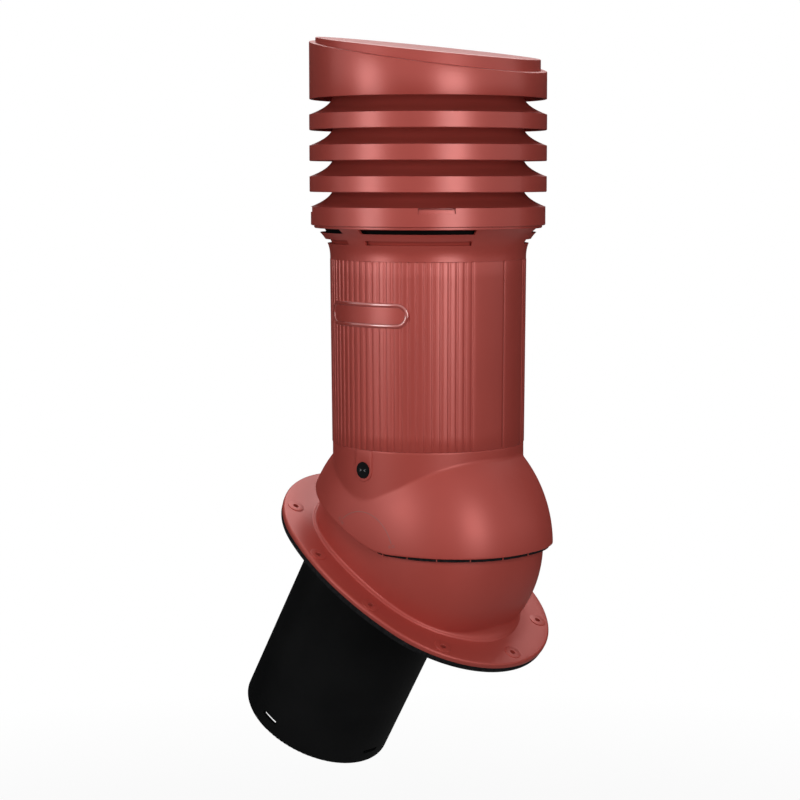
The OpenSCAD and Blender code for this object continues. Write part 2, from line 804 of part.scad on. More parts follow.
// Flared collar with two rows of slots, plugged into the tube
module slotted_collar() {
    steps = 12;
    flare = [for (i = [0:steps]) let(z = collar_flare * i / steps) [flare_r(z), tube_top_h + z]];
    back = [for (i = [steps:-1:0]) let(z = collar_flare * i / steps)
        [flare_r(z) - collar_wall, tube_top_h + z + 0.3 * collar_wall * i / steps]];
    plug_in = collar_plug_r - collar_wall;
    quarter = 90 - smooth_a - slot_side_bar / 2;
    slot_a = (quarter - (slot_count - 1) * slot_bar) / slot_count;
    color(brick) on_pivot() difference() {
        union() {
            rotate_extrude() polygon(concat(flare,
                [[collar_top_r, ring_low_h], [collar_top_r - collar_wall, ring_low_h]], back,
                [[plug_in, tube_top_h], [plug_in, tube_top_h - collar_plug],
                [collar_plug_r, tube_top_h - collar_plug], [collar_plug_r, tube_top_h]]));
        }
        for (row = [[slot_high_rise, slot_high], [slot_low_rise, slot_low]])
            for (base = [smooth_a, 90 + slot_side_bar / 2, 180 + smooth_a, 270 + slot_side_bar / 2])
                for (i = [0:slot_count - 1])
                    sector(base + slot_a / 2 + i * (slot_a + slot_bar), slot_a)
                        translate([collar_foot_r - 10, tube_top_h + row[0]])
                            square([collar_top_r - collar_foot_r + 20, row[1]]);
    }
}

// Tabs on the collar that guide the louvred cap at its four windows
module latch_tabs() {
    r_out = ring_r - ring_wall - 0.4;
    color(brick) on_pivot() for (a = latch_angles)
        sector(a, window_a - 2 * tab_clear_a) translate([r_out - tab_t, ring_low_h])
            square([tab_t, ring_high - 2.5]);
}

// Outer radius of a funnel at the height z above its band
function funnel_r(r, z) = throat_r + (r - throat_r) * pow(1 - z / (1.26 * funnel_rise), 2.64);

// Band with the funnel that rises behind the next band
module louvre_profile(r, low_h, high) {
    steps = 10;
    top = low_h + high;
    outer = [for (i = [0:steps]) let(z = funnel_rise * i / steps) [funnel_r(r, z), top + z]];
    inner = [for (i = [steps:-1:0]) let(z = funnel_rise * i / steps)
        [funnel_r(r, z) - ring_wall, top + z - ring_wall * pow(1 - i / steps, 1.5)]];
    last = len(inner) - 1;
    polygon(concat([[r - ring_wall, low_h + 0.8], [r - ring_wall + 0.4, low_h], [r - 0.6, low_h],
        [r, low_h + 0.6]], outer, [[inner[0][0], top + funnel_rise]], inner));
}

// Lugs inside the throat that the tie rods pass through
module rod_lugs(top_h) {
    reach = throat_r - ring_wall / 2;
    for (a = rod_angles) rotate([0, 0, a])
        translate([rod_circle - lug_half_w, -lug_half_w, top_h - lug_t])
            cube([reach - rod_circle + lug_half_w, 2 * lug_half_w, lug_t]);
}

module rod_holes(h0, h1) {
    for (a = rod_angles) rotate([0, 0, a]) translate([rod_circle, 0, h0])
        cylinder(r = rod_r + rod_clear, h = h1 - h0, $fn = 48);
}

module louvre_ring(low_h, top_h) {
    color(brick) on_pivot() difference() {
        union() {
            rotate_extrude() louvre_profile(band_r, low_h, band_high);
            rod_lugs(top_h);
        }
        rod_holes(top_h - lug_t - eps, top_h + eps);
    }
}

module louvre_ring_low() { louvre_ring(band_low_h[0], lug_top_h[1]); }
module louvre_ring_mid() { louvre_ring(band_low_h[1], lug_top_h[2]); }
module louvre_ring_top() { louvre_ring(band_low_h[2], lug_top_h[3]); }

// Lowest ring of the cap, which sits on the slotted collar
module collar_ring() {
    tab_r = ring_r - ring_wall - 0.4;
    seat_in = collar_top_r - collar_wall;
    color(brick) on_pivot() difference() {
        union() {
            rotate_extrude() louvre_profile(ring_r, ring_low_h, ring_high);
            tube(ring_r - ring_wall + 0.2, seat_in, ring_low_h, ring_low_h + 2);
            rod_lugs(lug_top_h[0]);
        }
        rod_holes(lug_top_h[0] - lug_t - eps, lug_top_h[0] + eps);
        for (a = latch_angles) {
            sector(a, window_a) translate([tab_r - tab_t - 0.4, ring_top_h - window_high])
                square([tab_t + 5, window_high]);
            sector(a, window_a + 1) translate([seat_in - 1, ring_low_h - eps])
                square([ring_r - ring_wall - seat_in + 1, 3]);
        }
    }
}

// Long screws that tie the rings to the cap
module tie_rods() {
    head = lug_top_h[0] - lug_t;
    color(steel) on_pivot() for (a = rod_angles) rotate([0, 0, a]) translate([rod_circle, 0, 0]) {
        translate([0, 0, head]) cylinder(r = rod_r, h = lug_top_h[3] + rod_grip - head, $fn = 48);
        difference() {
            translate([0, 0, head - 3]) cylinder(r = 2 * rod_r, h = 3, $fn = 48);
            translate([0, 0, head - 4]) cylinder(r = rod_r, h = 2.5, $fn = 6);
        }
    }
}

// Sleeves that set the pitch of the louvre rings
module spacer_sleeves() {
    color(galvanised) on_pivot() for (i = [0:2])
        for (a = rod_angles) rotate([0, 0, a]) translate([rod_circle, 0, 0])
            tube(sleeve_r, rod_r + rod_clear, lug_top_h[i], lug_top_h[i + 1] - lug_t, $fn = 48);
}

// Closed cap with a sloping top and a raised disc
module cap_cover() {
    cap_in_r = cap_r - cap_wall;
    disc_r = cap_r - cap_inset;
    color(brick) on_pivot() {
        difference() {
            cap_solid(cap_r, disc_r, ledge_h, cap_top_h);
            translate([0, 0, -eps]) cap_solid(cap_in_r, disc_r - cap_wall, ledge_h - cap_wall,
                cap_top_h - cap_wall);
        }
        difference() {
            for (a = rod_angles) rotate([0, 0, a]) translate([rod_circle, 0, lug_top_h[3]])
                cylinder(r = lug_half_w, h = cap_top_h, $fn = 48);
            above(cap_top_h - cap_wall / 2, cap_fall);
            rod_holes(lug_top_h[3] - eps, lug_top_h[3] + rod_grip + 1);
        }
    }
}

module cap_solid(r, disc_r, ledge, top) {
    difference() {
        translate([0, 0, cap_low_h]) cylinder(r = r, h = 2 * cap_ledge);
        above(ledge, cap_fall);
    }
    difference() {
        translate([0, 0, cap_low_h + 1]) cylinder(r = disc_r, h = 2 * cap_ledge);
        above(top, cap_fall);
    }
}

roof_flange();
roof_gasket();
lower_duct();
pivot_bushes();
flex_hose();
lower_clamp();
upper_clamp();
pitch_dome();
pivot_pins();
friction_washers();
spring_cups();
button_front();
button_rear();
button_spring_front();
button_spring_rear();
outer_tube();
badge_plate();
lower_support_ring();
inner_duct();
insulation_sleeve();
upper_support_ring();
slotted_collar();
latch_tabs();
collar_ring();
louvre_ring_low();
louvre_ring_mid();
louvre_ring_top();
tie_rods();
spacer_sleeves();
cap_cover();
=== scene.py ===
"""Looks of the roof vent pipe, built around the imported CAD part.

Lengths in the named values are millimetres. Two drawing frames are used: P(x, y, h) has its
origin at the pivot with h up the tube, and R(s, y, n) lies on the roof, with s down the roof
from the foot of the pivot and n square to the roof.
"""

import json
import math

import bmesh
import bpy
import numpy as np
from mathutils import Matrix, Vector


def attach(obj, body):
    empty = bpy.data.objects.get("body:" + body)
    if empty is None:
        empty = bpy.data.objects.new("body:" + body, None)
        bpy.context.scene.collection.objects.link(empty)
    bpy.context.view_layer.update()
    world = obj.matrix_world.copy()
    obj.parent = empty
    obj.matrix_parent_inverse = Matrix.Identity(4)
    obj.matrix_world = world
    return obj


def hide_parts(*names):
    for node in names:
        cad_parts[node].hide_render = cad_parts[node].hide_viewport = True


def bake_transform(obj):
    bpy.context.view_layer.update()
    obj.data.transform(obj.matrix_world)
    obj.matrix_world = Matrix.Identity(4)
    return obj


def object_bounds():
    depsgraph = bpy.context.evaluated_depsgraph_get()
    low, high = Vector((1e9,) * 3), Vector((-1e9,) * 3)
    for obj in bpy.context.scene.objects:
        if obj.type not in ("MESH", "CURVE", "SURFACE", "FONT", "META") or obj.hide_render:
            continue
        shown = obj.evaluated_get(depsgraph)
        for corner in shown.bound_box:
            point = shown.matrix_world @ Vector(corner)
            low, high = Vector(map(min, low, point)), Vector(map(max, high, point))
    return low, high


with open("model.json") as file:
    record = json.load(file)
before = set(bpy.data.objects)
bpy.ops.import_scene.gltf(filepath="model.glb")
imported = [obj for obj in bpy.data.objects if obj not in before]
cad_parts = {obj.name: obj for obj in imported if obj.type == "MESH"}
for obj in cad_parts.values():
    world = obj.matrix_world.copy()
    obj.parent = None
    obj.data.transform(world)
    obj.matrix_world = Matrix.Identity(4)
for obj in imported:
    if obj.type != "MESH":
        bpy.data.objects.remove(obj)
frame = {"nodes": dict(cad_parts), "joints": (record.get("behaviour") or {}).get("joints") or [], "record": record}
cad_low, cad_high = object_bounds()

# Main sizes, most of them as in the part's source
PIVOT = Vector(frame["joints"][0]["pos_m"]) * 1000
ROOF = math.radians(30)
PIVOT_RISE = 40.5
OUTLINE = {"end_r": 108.0, "end_c": 41.0, "side_c": 135.4}
HOLE_ARCS = {"end_r": 98.0, "end_c": 38.0, "side_r": 220.07, "side_c": 116.0}
PLATE_LOW, PLATE_TOP, FIELD_TOP, FLOOR_TOP = 5.5, 10.5, 12.0, 9.0
EDGE_R = 2.0
FIELD_INSET = 31.5
PAD_R, PAD_TOP, HOLE_R, HOLE_CHAMFER = 8.0, 11.1, 2.6, 0.15
CORNER_A, SIDE_A = 45.0, 10.0
BALL_R, BALL_W, DOME_R, DOME_W, WALL = 111.1, 86.7, 123.3, 94.6, 3.0
BALL_EXP, DOME_EXP = 2.52, 2.33
MOUTH_H, MOUTH_LEAN = 51.6, math.radians(9.6)
DUCT_R, DUCT_DOWN = 75.15, 30.0
RIM_H, RIM_BACK_H, RIM_SLOPE = 1.5, 8.3, math.tan(math.radians(24.4))
NECK_R, NECK_TOP, PLUG_R, PLUG_TOP = 90.0, 94.5, 87.3, 117.5
CREASE, INNER_CREASE, STEP_DOWN = 0.6, 3.0, 6.0
TUBE_LOW_R, TUBE_TOP_R, TUBE_TOP = 90.5, 91.9, 266.1
GROOVE_PITCH, GROOVE_DEPTH, GROOVES = 4.6, 0.75, 15
BUTTON_H, BUTTON_R, BUTTON_PAD_R, BUTTON_PAD_T, BUTTON_OUT = 75.7, 7.5, 10.25, 0.8, 91.2
BADGE_H, BADGE_HIGH, BADGE_LONG = 217.75, 22.5, 96.0
RIB_PITCH, RIB_W = 15.0, 0.8
# The rim strip is a seal whose black, dropped under the rim, is also painted shade for the dark gap there.
SEAL_SHADE_END, SEAL_SHADE_FADE, SEAL_SHADE_DROP = 79, 24, 2.7
BUSH_R, BOSS_OUT_R, BOSS_IN_Y, BOSS_OUT_Y = 11.0, 16.0, 74.6, 84.6
ARM_Y, ARM_T, ARM_HALF, ARM_END_R, ARM_WALL_H = 69.5, 3.0, 11.0, 13.0, 73.0
HOSE_R, HOSE_WALL, HOSE_FOLD, HOSE_FOLDS, HOSE_CUFF = 62.6, 1.6, 3.4, 8, 15.0
HOSE_BEND_R, HOSE_TOP = 126.8, 94.0
CUFF_LOW, CUFF_TOP, CUFF_WALL = 2.8, 3.1, 2.5


def P(x, y, h):
    """Point in metres from millimetres about the pivot, with h up the tube."""
    return Vector((PIVOT.x + x, PIVOT.y + y, PIVOT.z + h)) / 1000


def R(s, y, n):
    """Point in metres from millimetres on the roof: s down it and n square to it."""
    n = n - PIVOT_RISE
    return P(s * math.cos(ROOF) + n * math.sin(ROOF), y, n * math.cos(ROOF) - s * math.sin(ROOF))


ALONG_X, ALONG_Y, ALONG_Z = Vector((1, 0, 0)), Vector((0, 1, 0)), Vector((0, 0, 1))


# Materials


class Nodes:
    """Short way to build a node tree."""

    def __init__(self, name):
        self.material = bpy.data.materials.new(name)
        self.material.use_nodes = True
        self.tree = self.material.node_tree
        self.tree.nodes.clear()
        self.out = self.tree.nodes.new("ShaderNodeOutputMaterial")
        self.shader = self.add("ShaderNodeBsdfPrincipled")
        self.link(self.shader.outputs["BSDF"], self.out.inputs["Surface"])
        self.where = self.add("ShaderNodeTexCoord").outputs["Object"]

    def add(self, kind, **values):
        node = self.tree.nodes.new(kind)
        for key, value in values.items():
            if key in node.inputs:
                node.inputs[key].default_value = value
            else:
                setattr(node, key, value)
        return node

    def link(self, a, b):
        self.tree.links.new(a, b)

    def noise(self, scale, detail=2.0, rough=0.5, stretch=None):
        node = self.add("ShaderNodeTexNoise", Scale=scale, Detail=detail, Roughness=rough)
        source = self.where
        if stretch:
            mapping = self.add("ShaderNodeMapping")
            mapping.inputs["Scale"].default_value = stretch
            self.link(source, mapping.inputs["Vector"])
            source = mapping.outputs["Vector"]
        self.link(source, node.inputs["Vector"])
        return node.outputs["Fac"]

    def ramp(self, value, low, high):
        node = self.add("ShaderNodeMapRange")
        self.link(value, node.inputs["Value"])
        node.inputs["From Min"].default_value, node.inputs["From Max"].default_value = 0.3, 0.7
        node.inputs["To Min"].default_value, node.inputs["To Max"].default_value = low, high
        return node.outputs["Result"]

    def colours(self, value, low, high, a=0.35, b=0.65):
        node = self.add("ShaderNodeValToRGB")
        for element, place, colour in zip(node.color_ramp.elements, (a, b), (low, high)):
            element.position = place
            element.color = (*colour, 1)
        self.link(value, node.inputs["Fac"])
        return node.outputs["Color"]

    def bump(self, heights, edge=0.0):
        """Bump from (value, depth in metres) pairs, over normals rounded at the edges."""
        normal = None
        if edge:
            bevel = self.add("ShaderNodeBevel", samples=6)
            bevel.inputs["Radius"].default_value = edge
            normal = bevel.outputs["Normal"]
        for value, depth in heights:
            node = self.add("ShaderNodeBump", Strength=1.0, Distance=depth)
            self.link(value, node.inputs["Height"])
            if normal:
                self.link(normal, node.inputs["Normal"])
            normal = node.outputs["Normal"]
        self.link(normal, self.shader.inputs["Normal"])

    def set(self, **values):
        for key, value in values.items():
            self.shader.inputs[key.replace("_", " ")].default_value = value

    def feed(self, **links):
        for key, value in links.items():
            self.link(value, self.shader.inputs[key.replace("_", " ")])


def brick_plastic(name, rough=0.33, gloss=0.85, sheen=0.22, coat=1.5):
    """Satin plastic with a pearl sheen in its own colour, a fine moulded grain and a faint flow pattern."""
    m = Nodes(name)
    m.feed(
        Base_Color=m.colours(m.noise(9.0, 3.0, 0.55), (0.430, 0.064, 0.049), (0.462, 0.071, 0.055)),
        Roughness=m.ramp(m.noise(60.0, 4.0), 0.36, 0.42),
    )
    m.set(Metallic=sheen, IOR=1.45, Specular_IOR_Level=0.0)
    m.set(Coat_Weight=gloss, Coat_Roughness=rough, Coat_IOR=coat)
    m.bump([(m.noise(2600.0, 3.0), 0.000012), (m.noise(420.0, 2.0), 0.000010)], edge=0.0005)
    return m.material


def black_plastic(name):
    m = Nodes(name)
    m.feed(
        Base_Color=m.colours(m.noise(14.0, 3.0), (0.0055, 0.0057, 0.006), (0.0085, 0.0087, 0.009)),
        Roughness=m.ramp(m.noise(80.0, 4.0), 0.40, 0.52),
    )
    m.set(IOR=1.45, Specular_IOR_Level=0.0, Coat_Weight=0.16, Coat_Roughness=0.34, Coat_IOR=1.5)
    draw = m.noise(1.0, 3.0, 0.6, (900.0, 900.0, 9.0))
    m.bump([(m.noise(1800.0, 2.0), 0.00001), (draw, 0.000012)], edge=0.0004)
    return m.material


def foam_rubber(name):
    m = Nodes(name)
    cells = m.add("ShaderNodeTexVoronoi", Scale=900.0)
    m.link(m.where, cells.inputs["Vector"])
    m.feed(Base_Color=m.colours(m.noise(300.0, 4.0), (0.004, 0.004, 0.0045), (0.014, 0.014, 0.015)))
    m.set(Roughness=0.85, Specular_IOR_Level=0.12)
    m.bump([(cells.outputs["Distance"], 0.0003), (m.noise(120.0, 3.0), 0.0002)])
    return m.material


def black_rubber(name):
    m = Nodes(name)
    m.feed(
        Base_Color=m.colours(m.noise(30.0, 4.0), (0.010, 0.010, 0.011), (0.020, 0.020, 0.021)),
        Roughness=m.ramp(m.noise(200.0, 3.0), 0.6, 0.75),
    )
    m.bump([(m.noise(1500.0, 3.0), 0.00003)])
    return m.material


def stainless(name):
    m = Nodes(name)
    brushed = m.noise(1.0, 4.0, 0.6, (120.0, 120.0, 3500.0))
    m.feed(
        Base_Color=m.colours(brushed, (0.50, 0.50, 0.51), (0.64, 0.64, 0.65)),
        Roughness=m.ramp(brushed, 0.24, 0.36),
    )
    m.set(Metallic=1.0)
    m.bump([(brushed, 0.00001)], edge=0.0002)
    return m.material


def galvanised(name):
    m = Nodes(name)
    spangle = m.add("ShaderNodeTexVoronoi", Scale=160.0)
    m.link(m.where, spangle.inputs["Vector"])
    grey = m.add("ShaderNodeRGBToBW")
    m.link(spangle.outputs["Color"], grey.inputs["Color"])
    m.feed(
        Base_Color=m.colours(grey.outputs["Val"], (0.44, 0.46, 0.48), (0.60, 0.62, 0.64), 0.2, 0.8),
        Roughness=m.ramp(grey.outputs["Val"], 0.30, 0.48),
    )
    m.set(Metallic=0.9)
    m.bump([(m.noise(500.0, 3.0), 0.00001)], edge=0.0003)
    return m.material


def mineral_wool(name):
    m = Nodes(name)
    fibres = m.noise(1.0, 8.0, 0.7, (700.0, 700.0, 160.0))
    m.feed(Base_Color=m.colours(fibres, (0.34, 0.27, 0.12), (0.66, 0.56, 0.32)))
    m.set(Roughness=0.95)
    m.bump([(fibres, 0.0012), (m.noise(60.0, 5.0), 0.0015)])
    return m.material


def printed(name, low, high):
    """Thin marks on the plastic."""
    m = Nodes(name)
    m.feed(Base_Color=m.colours(m.noise(400.0, 3.0), low, high))
    m.set(Roughness=0.55)
    m.bump([(m.noise(2600.0, 2.0), 0.00001)])
    return m.material


FINISH = {
    "brick_plastic": brick_plastic("brick_plastic"),
    "black_plastic": black_plastic("black_plastic"),
    "foam_rubber": foam_rubber("foam_rubber"),
    "black_rubber": black_rubber("black_rubber"),
    "stainless": stainless("stainless"),
    "galvanised": galvanised("galvanised"),
    "mineral_wool": mineral_wool("mineral_wool"),
}
BADGE_FINISH = brick_plastic("brick_plastic_polished", rough=0.18, gloss=1.0, coat=2.1)
LOW_FINISH = brick_plastic("brick_plastic_soft", rough=0.435, gloss=0.7, sheen=0.12)
SCALE_FINISH = printed("scale_mark", (0.27, 0.105, 0.09), (0.31, 0.125, 0.11))
PALE_FINISH = printed("pale_mark", (0.16, 0.16, 0.165), (0.20, 0.20, 0.205))

SLOT_OF = {p["node"]: p["material_slot"] for p in frame["record"]["subparts"]}
for node_name, node_object in frame["nodes"].items():
    node_object.data.materials.clear()
    node_object.data.materials.append(FINISH[SLOT_OF[node_name]])


# Mesh building


def merged(name, parts, weld=False):
    """One mesh from parts, each a list of points in metres and a list of faces."""
    points, faces = [], []
    for part_points, part_faces in parts:
        start = len(points)
        points += [tuple(p) for p in part_points]
        faces += [tuple(start + i for i in face) for face in part_faces]
    mesh = bpy.data.meshes.new(name)
    mesh.from_pydata(points, [], faces)
    work = bmesh.new()
    work.from_mesh(mesh)
    if weld:
        bmesh.ops.remove_doubles(work, verts=work.verts, dist=1e-7)
    bmesh.ops.recalc_face_normals(work, faces=work.faces)
    work.to_mesh(mesh)
    work.free()
    return mesh


def shade(mesh, angle):
    """Smooth shading with sharp edges above an angle in degrees."""
    mesh.polygons.foreach_set("use_smooth", [True] * len(mesh.polygons))
    mesh.set_sharp_from_angle(angle=math.radians(angle))


def piece(name, parts, body, finish, replaces=(), angle=32, blend=None):
    """A named piece that rides a body, or, given a blend, stays where it is without a body."""
    mesh = merged(name, parts, weld=True)
    shade(mesh, angle)
    mesh.materials.append(finish)
    made = bpy.data.objects.new(name, mesh)
    bpy.context.scene.collection.objects.link(made)
    if replaces:
        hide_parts(*replaces)
    if blend:
        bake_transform(made)
    elif body:
        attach(made, body)
    return made


def around(place, turns, reach, level, x=0, y=0):
    """Ring of points in a drawing frame, at angles, reaches and levels round an upright axis."""
    reach, level = np.broadcast_to(reach, turns.shape), np.broadcast_to(level, turns.shape)
    return [place(x + r * math.cos(a), y + r * math.sin(a), h) for a, r, h in zip(turns, reach, level)]


def circle(count):
    """Angles of a full turn in equal steps."""
    return np.linspace(0, 2 * math.pi, count, endpoint=False)


def stack(rings, closed=True, joined=True):
    """Quads over rings of points. closed ties up each ring, joined ties the last ring to the first."""
    count = len(rings[0])
    points = [p for ring in rings for p in ring]
    last = len(rings) if joined else len(rings) - 1
    wide = count if closed else count - 1
    faces = []
    for i in range(last):
        a, b = i * count, (i + 1) % len(rings) * count
        for j in range(wide):
            k = (j + 1) % count
            faces.append((a + j, a + k, b + k, b + j))
    return points, faces


def solid_stack(rings):
    """A stack of closed rings with flat ends."""
    points, faces = stack(rings, joined=False)
    count = len(rings[0])
    faces.append(tuple(range(count)))
    faces.append(tuple(len(points) - 1 - i for i in range(count)))
    return points, faces


def strip(rings):
    """Open rings laid side by side as one closed body with two flat ends."""
    points, faces = stack(rings, closed=False)
    count, last = len(rings[0]), len(rings) - 1
    faces.append(tuple(k * count for k in range(last + 1)))
    faces.append(tuple((last - k) * count + count - 1 for k in range(last + 1)))
    return points, faces


def bored(made, cutters, angle):
    """Cuts closed cutters out of a piece and keeps the result as its mesh."""
    name = made.name + "_cutter"
    cutter = bpy.data.objects.new(name, merged(name, cutters))
    bpy.context.scene.collection.objects.link(cutter)
    tool = made.modifiers.new("bore", "BOOLEAN")
    tool.operation, tool.solver, tool.object = "DIFFERENCE", "EXACT", cutter
    result = bpy.data.meshes.new_from_object(made.evaluated_get(bpy.context.evaluated_depsgraph_get()))
    made.modifiers.clear()
    made.data = result
    shade(result, angle)
    bpy.data.objects.remove(cutter)


def rod(centre, across, along, radius, low, high, count=32):
    """Closed cylinder: centre, two unit vectors across, one along."""
    u, v = across
    rings = []
    for d in (low, high):
        ring = []
        for i in range(count):
            a = 2 * math.pi * i / count
            ring.append(centre + (u * math.cos(a) + v * math.sin(a)) * radius / 1000 + along * d / 1000)
        rings.append(ring)
    return solid_stack(rings)


def smooth_max(a, b, k):
    reach = np.maximum(k - np.abs(a - b), 0) / k
    return np.maximum(a, b) + reach * reach * k / 4


# Ball and dome: bodies of revolution about the pivot axis, found in polar slices


def girth(y, r, w, power):
    """Radius of the body about the pivot axis at the distance y along it."""
    inside = np.clip(1 - (np.abs(y) / w) ** power, 0, None)
    return r * inside ** (1 / power)


def reach_at(angle, level, r, w, power):
    """Distance from the polar axis to the body at an angle and a level above the pivot."""
    low, high = np.zeros_like(angle + level), np.full_like(angle + level, 140.0)
    for _ in range(48):
        middle = (low + high) / 2
        inside = (middle * np.cos(angle)) ** 2 + level**2 < girth(middle * np.sin(angle), r, w, power) ** 2
        low, high = np.where(inside, middle, low), np.where(inside, high, middle)
    return (low + high) / 2


def oval(angle, inset):
    """Distance from the flange's middle to its outline, moved inward by inset."""
    end_r, end_c, side_c = OUTLINE["end_r"], OUTLINE["end_c"], OUTLINE["side_c"]
    side_r = end_r + math.hypot(end_c, side_c)
    c, s = np.abs(np.cos(angle)), np.abs(np.sin(angle))
    on_end = end_c * c + np.sqrt(np.maximum((end_r - inset) ** 2 - (end_c * s) ** 2, 0))
    on_side = -side_c * s + np.sqrt((side_r - inset) ** 2 - (side_c * c) ** 2)
    turn = np.arctan2(on_end * s, on_end * c - end_c)
    return np.where(turn < math.atan2(side_c, end_c), on_end, on_side)


def duct_edge(turns):
    """Distance from the flange's middle to the wall of the duct."""
    return -DUCT_DOWN * np.cos(turns) + np.sqrt(DUCT_R**2 - (DUCT_DOWN * np.sin(turns)) ** 2)


def base_shell():
    """Plate, raised field, foot fillet and ball, as rings that share their polar angle."""
    turns = circle(360)
    rings = []

    def ring(reach, level):
        rings.append(around(R, turns, reach, level))

    def ball(level, r=BALL_R, w=BALL_W):
        return reach_at(turns, np.broadcast_to(level, turns.shape) - PIVOT_RISE, r, w, BALL_EXP)

    def mouth(r, w):
        lean = ROOF - MOUTH_LEAN
        low, high = np.full_like(turns, PIVOT_RISE), np.full_like(turns, PIVOT_RISE + 110)
        for _ in range(40):
            middle = (low + high) / 2
            over = -math.sin(lean) * ball(middle, r, w) * np.cos(turns) + math.cos(lean) * (middle - PIVOT_RISE)
            under = over < MOUTH_H * math.cos(MOUTH_LEAN)
            low, high = np.where(under, middle, low), np.where(under, high, middle)
        return (low + high) / 2

    for inset, level in ((0.6, PLATE_LOW), (0.15, PLATE_LOW + 0.25), (0, PLATE_LOW + 0.7)):
        ring(oval(turns, inset), level)
    for a in (0, 15, 30, 45, 60, 75, 90):
        a = math.radians(a)
        ring(oval(turns, EDGE_R * (1 - math.cos(a))), PLATE_TOP - EDGE_R * (1 - math.sin(a)))
    foot = ball(FIELD_TOP)
    start = smooth_max(oval(turns, FIELD_INSET + 1.8), foot + 1.6, 3.0)
    fillet = start - foot
    ring(oval(turns, 8.0), PLATE_TOP)
    ring(oval(turns, 18.0), PLATE_TOP)
    rise = FIELD_TOP - PLATE_TOP
    for inset, share in ((-1.5, 0), (-1.0, 0.06), (-0.4, 0.4), (0.1, 0.8), (0.4, 0.96), (0.7, 1)):
        ring(start + 0.7 - inset, PLATE_TOP + rise * share)
    end_level = FIELD_TOP + 1.35 * fillet
    end = ball(end_level)
    slope = ball(end_level + 0.5) - ball(end_level - 0.5)
    length = np.hypot(slope, 1.0)
    lean, hold = math.radians(34), 0.5 * fillet
    for t in np.linspace(0, 1, 12):
        a, b, c, d = (1 - t) ** 3, 3 * t * (1 - t) ** 2, 3 * t * t * (1 - t), t**3
        ring(
            a * start + b * (start - hold * math.cos(lean)) + c * (end - hold * slope / length) + d * end,
            a * FIELD_TOP + b * (FIELD_TOP + hold * math.sin(lean)) + c * (end_level - hold / length) + d * end_level,
        )
    top = mouth(BALL_R, BALL_W)
    for t in np.linspace(0, 1, 46)[1:]:
        level = end_level + (top - end_level) * t
        ring(ball(level), level)
    inner_r, inner_w = BALL_R - WALL, BALL_W - WALL
    top = mouth(inner_r, inner_w)
    for t in np.linspace(1, 0, 26):
        level = FLOOR_TOP + (top - FLOOR_TOP) * t
        ring(ball(level, inner_r, inner_w), level)
    hole = np.minimum(duct_edge(turns), ball(FLOOR_TOP, inner_r, inner_w) - 0.2)
    ring(hole, FLOOR_TOP)
    ring(hole, PLATE_LOW)
    return stack(rings)


def screw_places():
    """Middles of the ten screw holes, on the two end arcs and the two side arcs."""
    end_r, end_c, side_r, side_c = (HOLE_ARCS[key] for key in ("end_r", "end_c", "side_r", "side_c"))
    places = []
    for flip in (1, -1):
        for a in (-CORNER_A, 0, CORNER_A):
            a = math.radians(a)
            places.append((flip * (end_c + end_r * math.cos(a)), flip * end_r * math.sin(a)))
        for a in (-SIDE_A, SIDE_A):
            a = math.radians(a)
            places.append((flip * side_r * math.sin(a), flip * (side_r * math.cos(a) - side_c)))
    return places


def screw_pad(s, y):
    """Raised pad round a screw hole."""
    profile = [(HOLE_R, PLATE_TOP - 1), (HOLE_R, PAD_TOP - HOLE_CHAMFER), (HOLE_R + HOLE_CHAMFER, PAD_TOP),
               (PAD_R - 0.5, PAD_TOP), (PAD_R - 0.15, PAD_TOP - 0.12), (PAD_R, PAD_TOP - 0.4), (PAD_R, PLATE_TOP - 1)]
    return stack([around(R, circle(48), r, n, s, y) for r, n in profile])


def bearing_boss(side):
    """Boss inside the ball that holds a bush."""
    profile = ((BUSH_R, BOSS_IN_Y), (BOSS_OUT_R - 0.6, BOSS_IN_Y), (BOSS_OUT_R, BOSS_IN_Y + 0.6),
               (BOSS_OUT_R, BOSS_OUT_Y), (BUSH_R, BOSS_OUT_Y))
    return stack([[P(r * math.cos(a), side * y, r * math.sin(a)) for a in circle(64)] for r, y in profile])


def gasket():
    """Foam sheet under the plate, open round the duct."""
    turns = circle(240)
    edge = ((1.0, PLATE_LOW), (0.8, PLATE_LOW - 0.4), (0.8, 1.2), (1.1, 0.4), (1.9, 0))
    rings = [around(R, turns, oval(turns, inset), level) for inset, level in edge]
    return stack(rings + [around(R, turns, duct_edge(turns), level) for level in (0, PLATE_LOW)])


piece("gasket_sheet", [gasket()], "base", FINISH["foam_rubber"], ["roof_gasket"], angle=50)

DOWN_ROOF, OFF_ROOF = (R(1, 0, 0) - R(0, 0, 0)).normalized(), (R(0, 0, 1) - R(0, 0, 0)).normalized()
flange = piece("flange_and_ball", [base_shell()], "base", LOW_FINISH, ["roof_flange"], angle=40)
SCREW_BORE, BUTTON_BORE, BUTTON_PLAY = 12, 20, 0.3
drills = [rod(R(s, y, PLATE_LOW - 1), (DOWN_ROOF, ALONG_Y), OFF_ROOF, HOLE_R, 0, SCREW_BORE)
          for s, y in screw_places()]
bored(flange, drills, angle=40)
piece("screw_pads", [screw_pad(s, y) for s, y in screw_places()], "base", LOW_FINISH)
piece("bearing_bosses", [bearing_boss(1), bearing_boss(-1)], "base", LOW_FINISH)


def rim_level(x):
    """Level of the dome's rim: low and flat on the downhill side, rising uphill."""
    return smooth_max(np.full_like(x, RIM_H), RIM_BACK_H - RIM_SLOPE * x, 9.0)


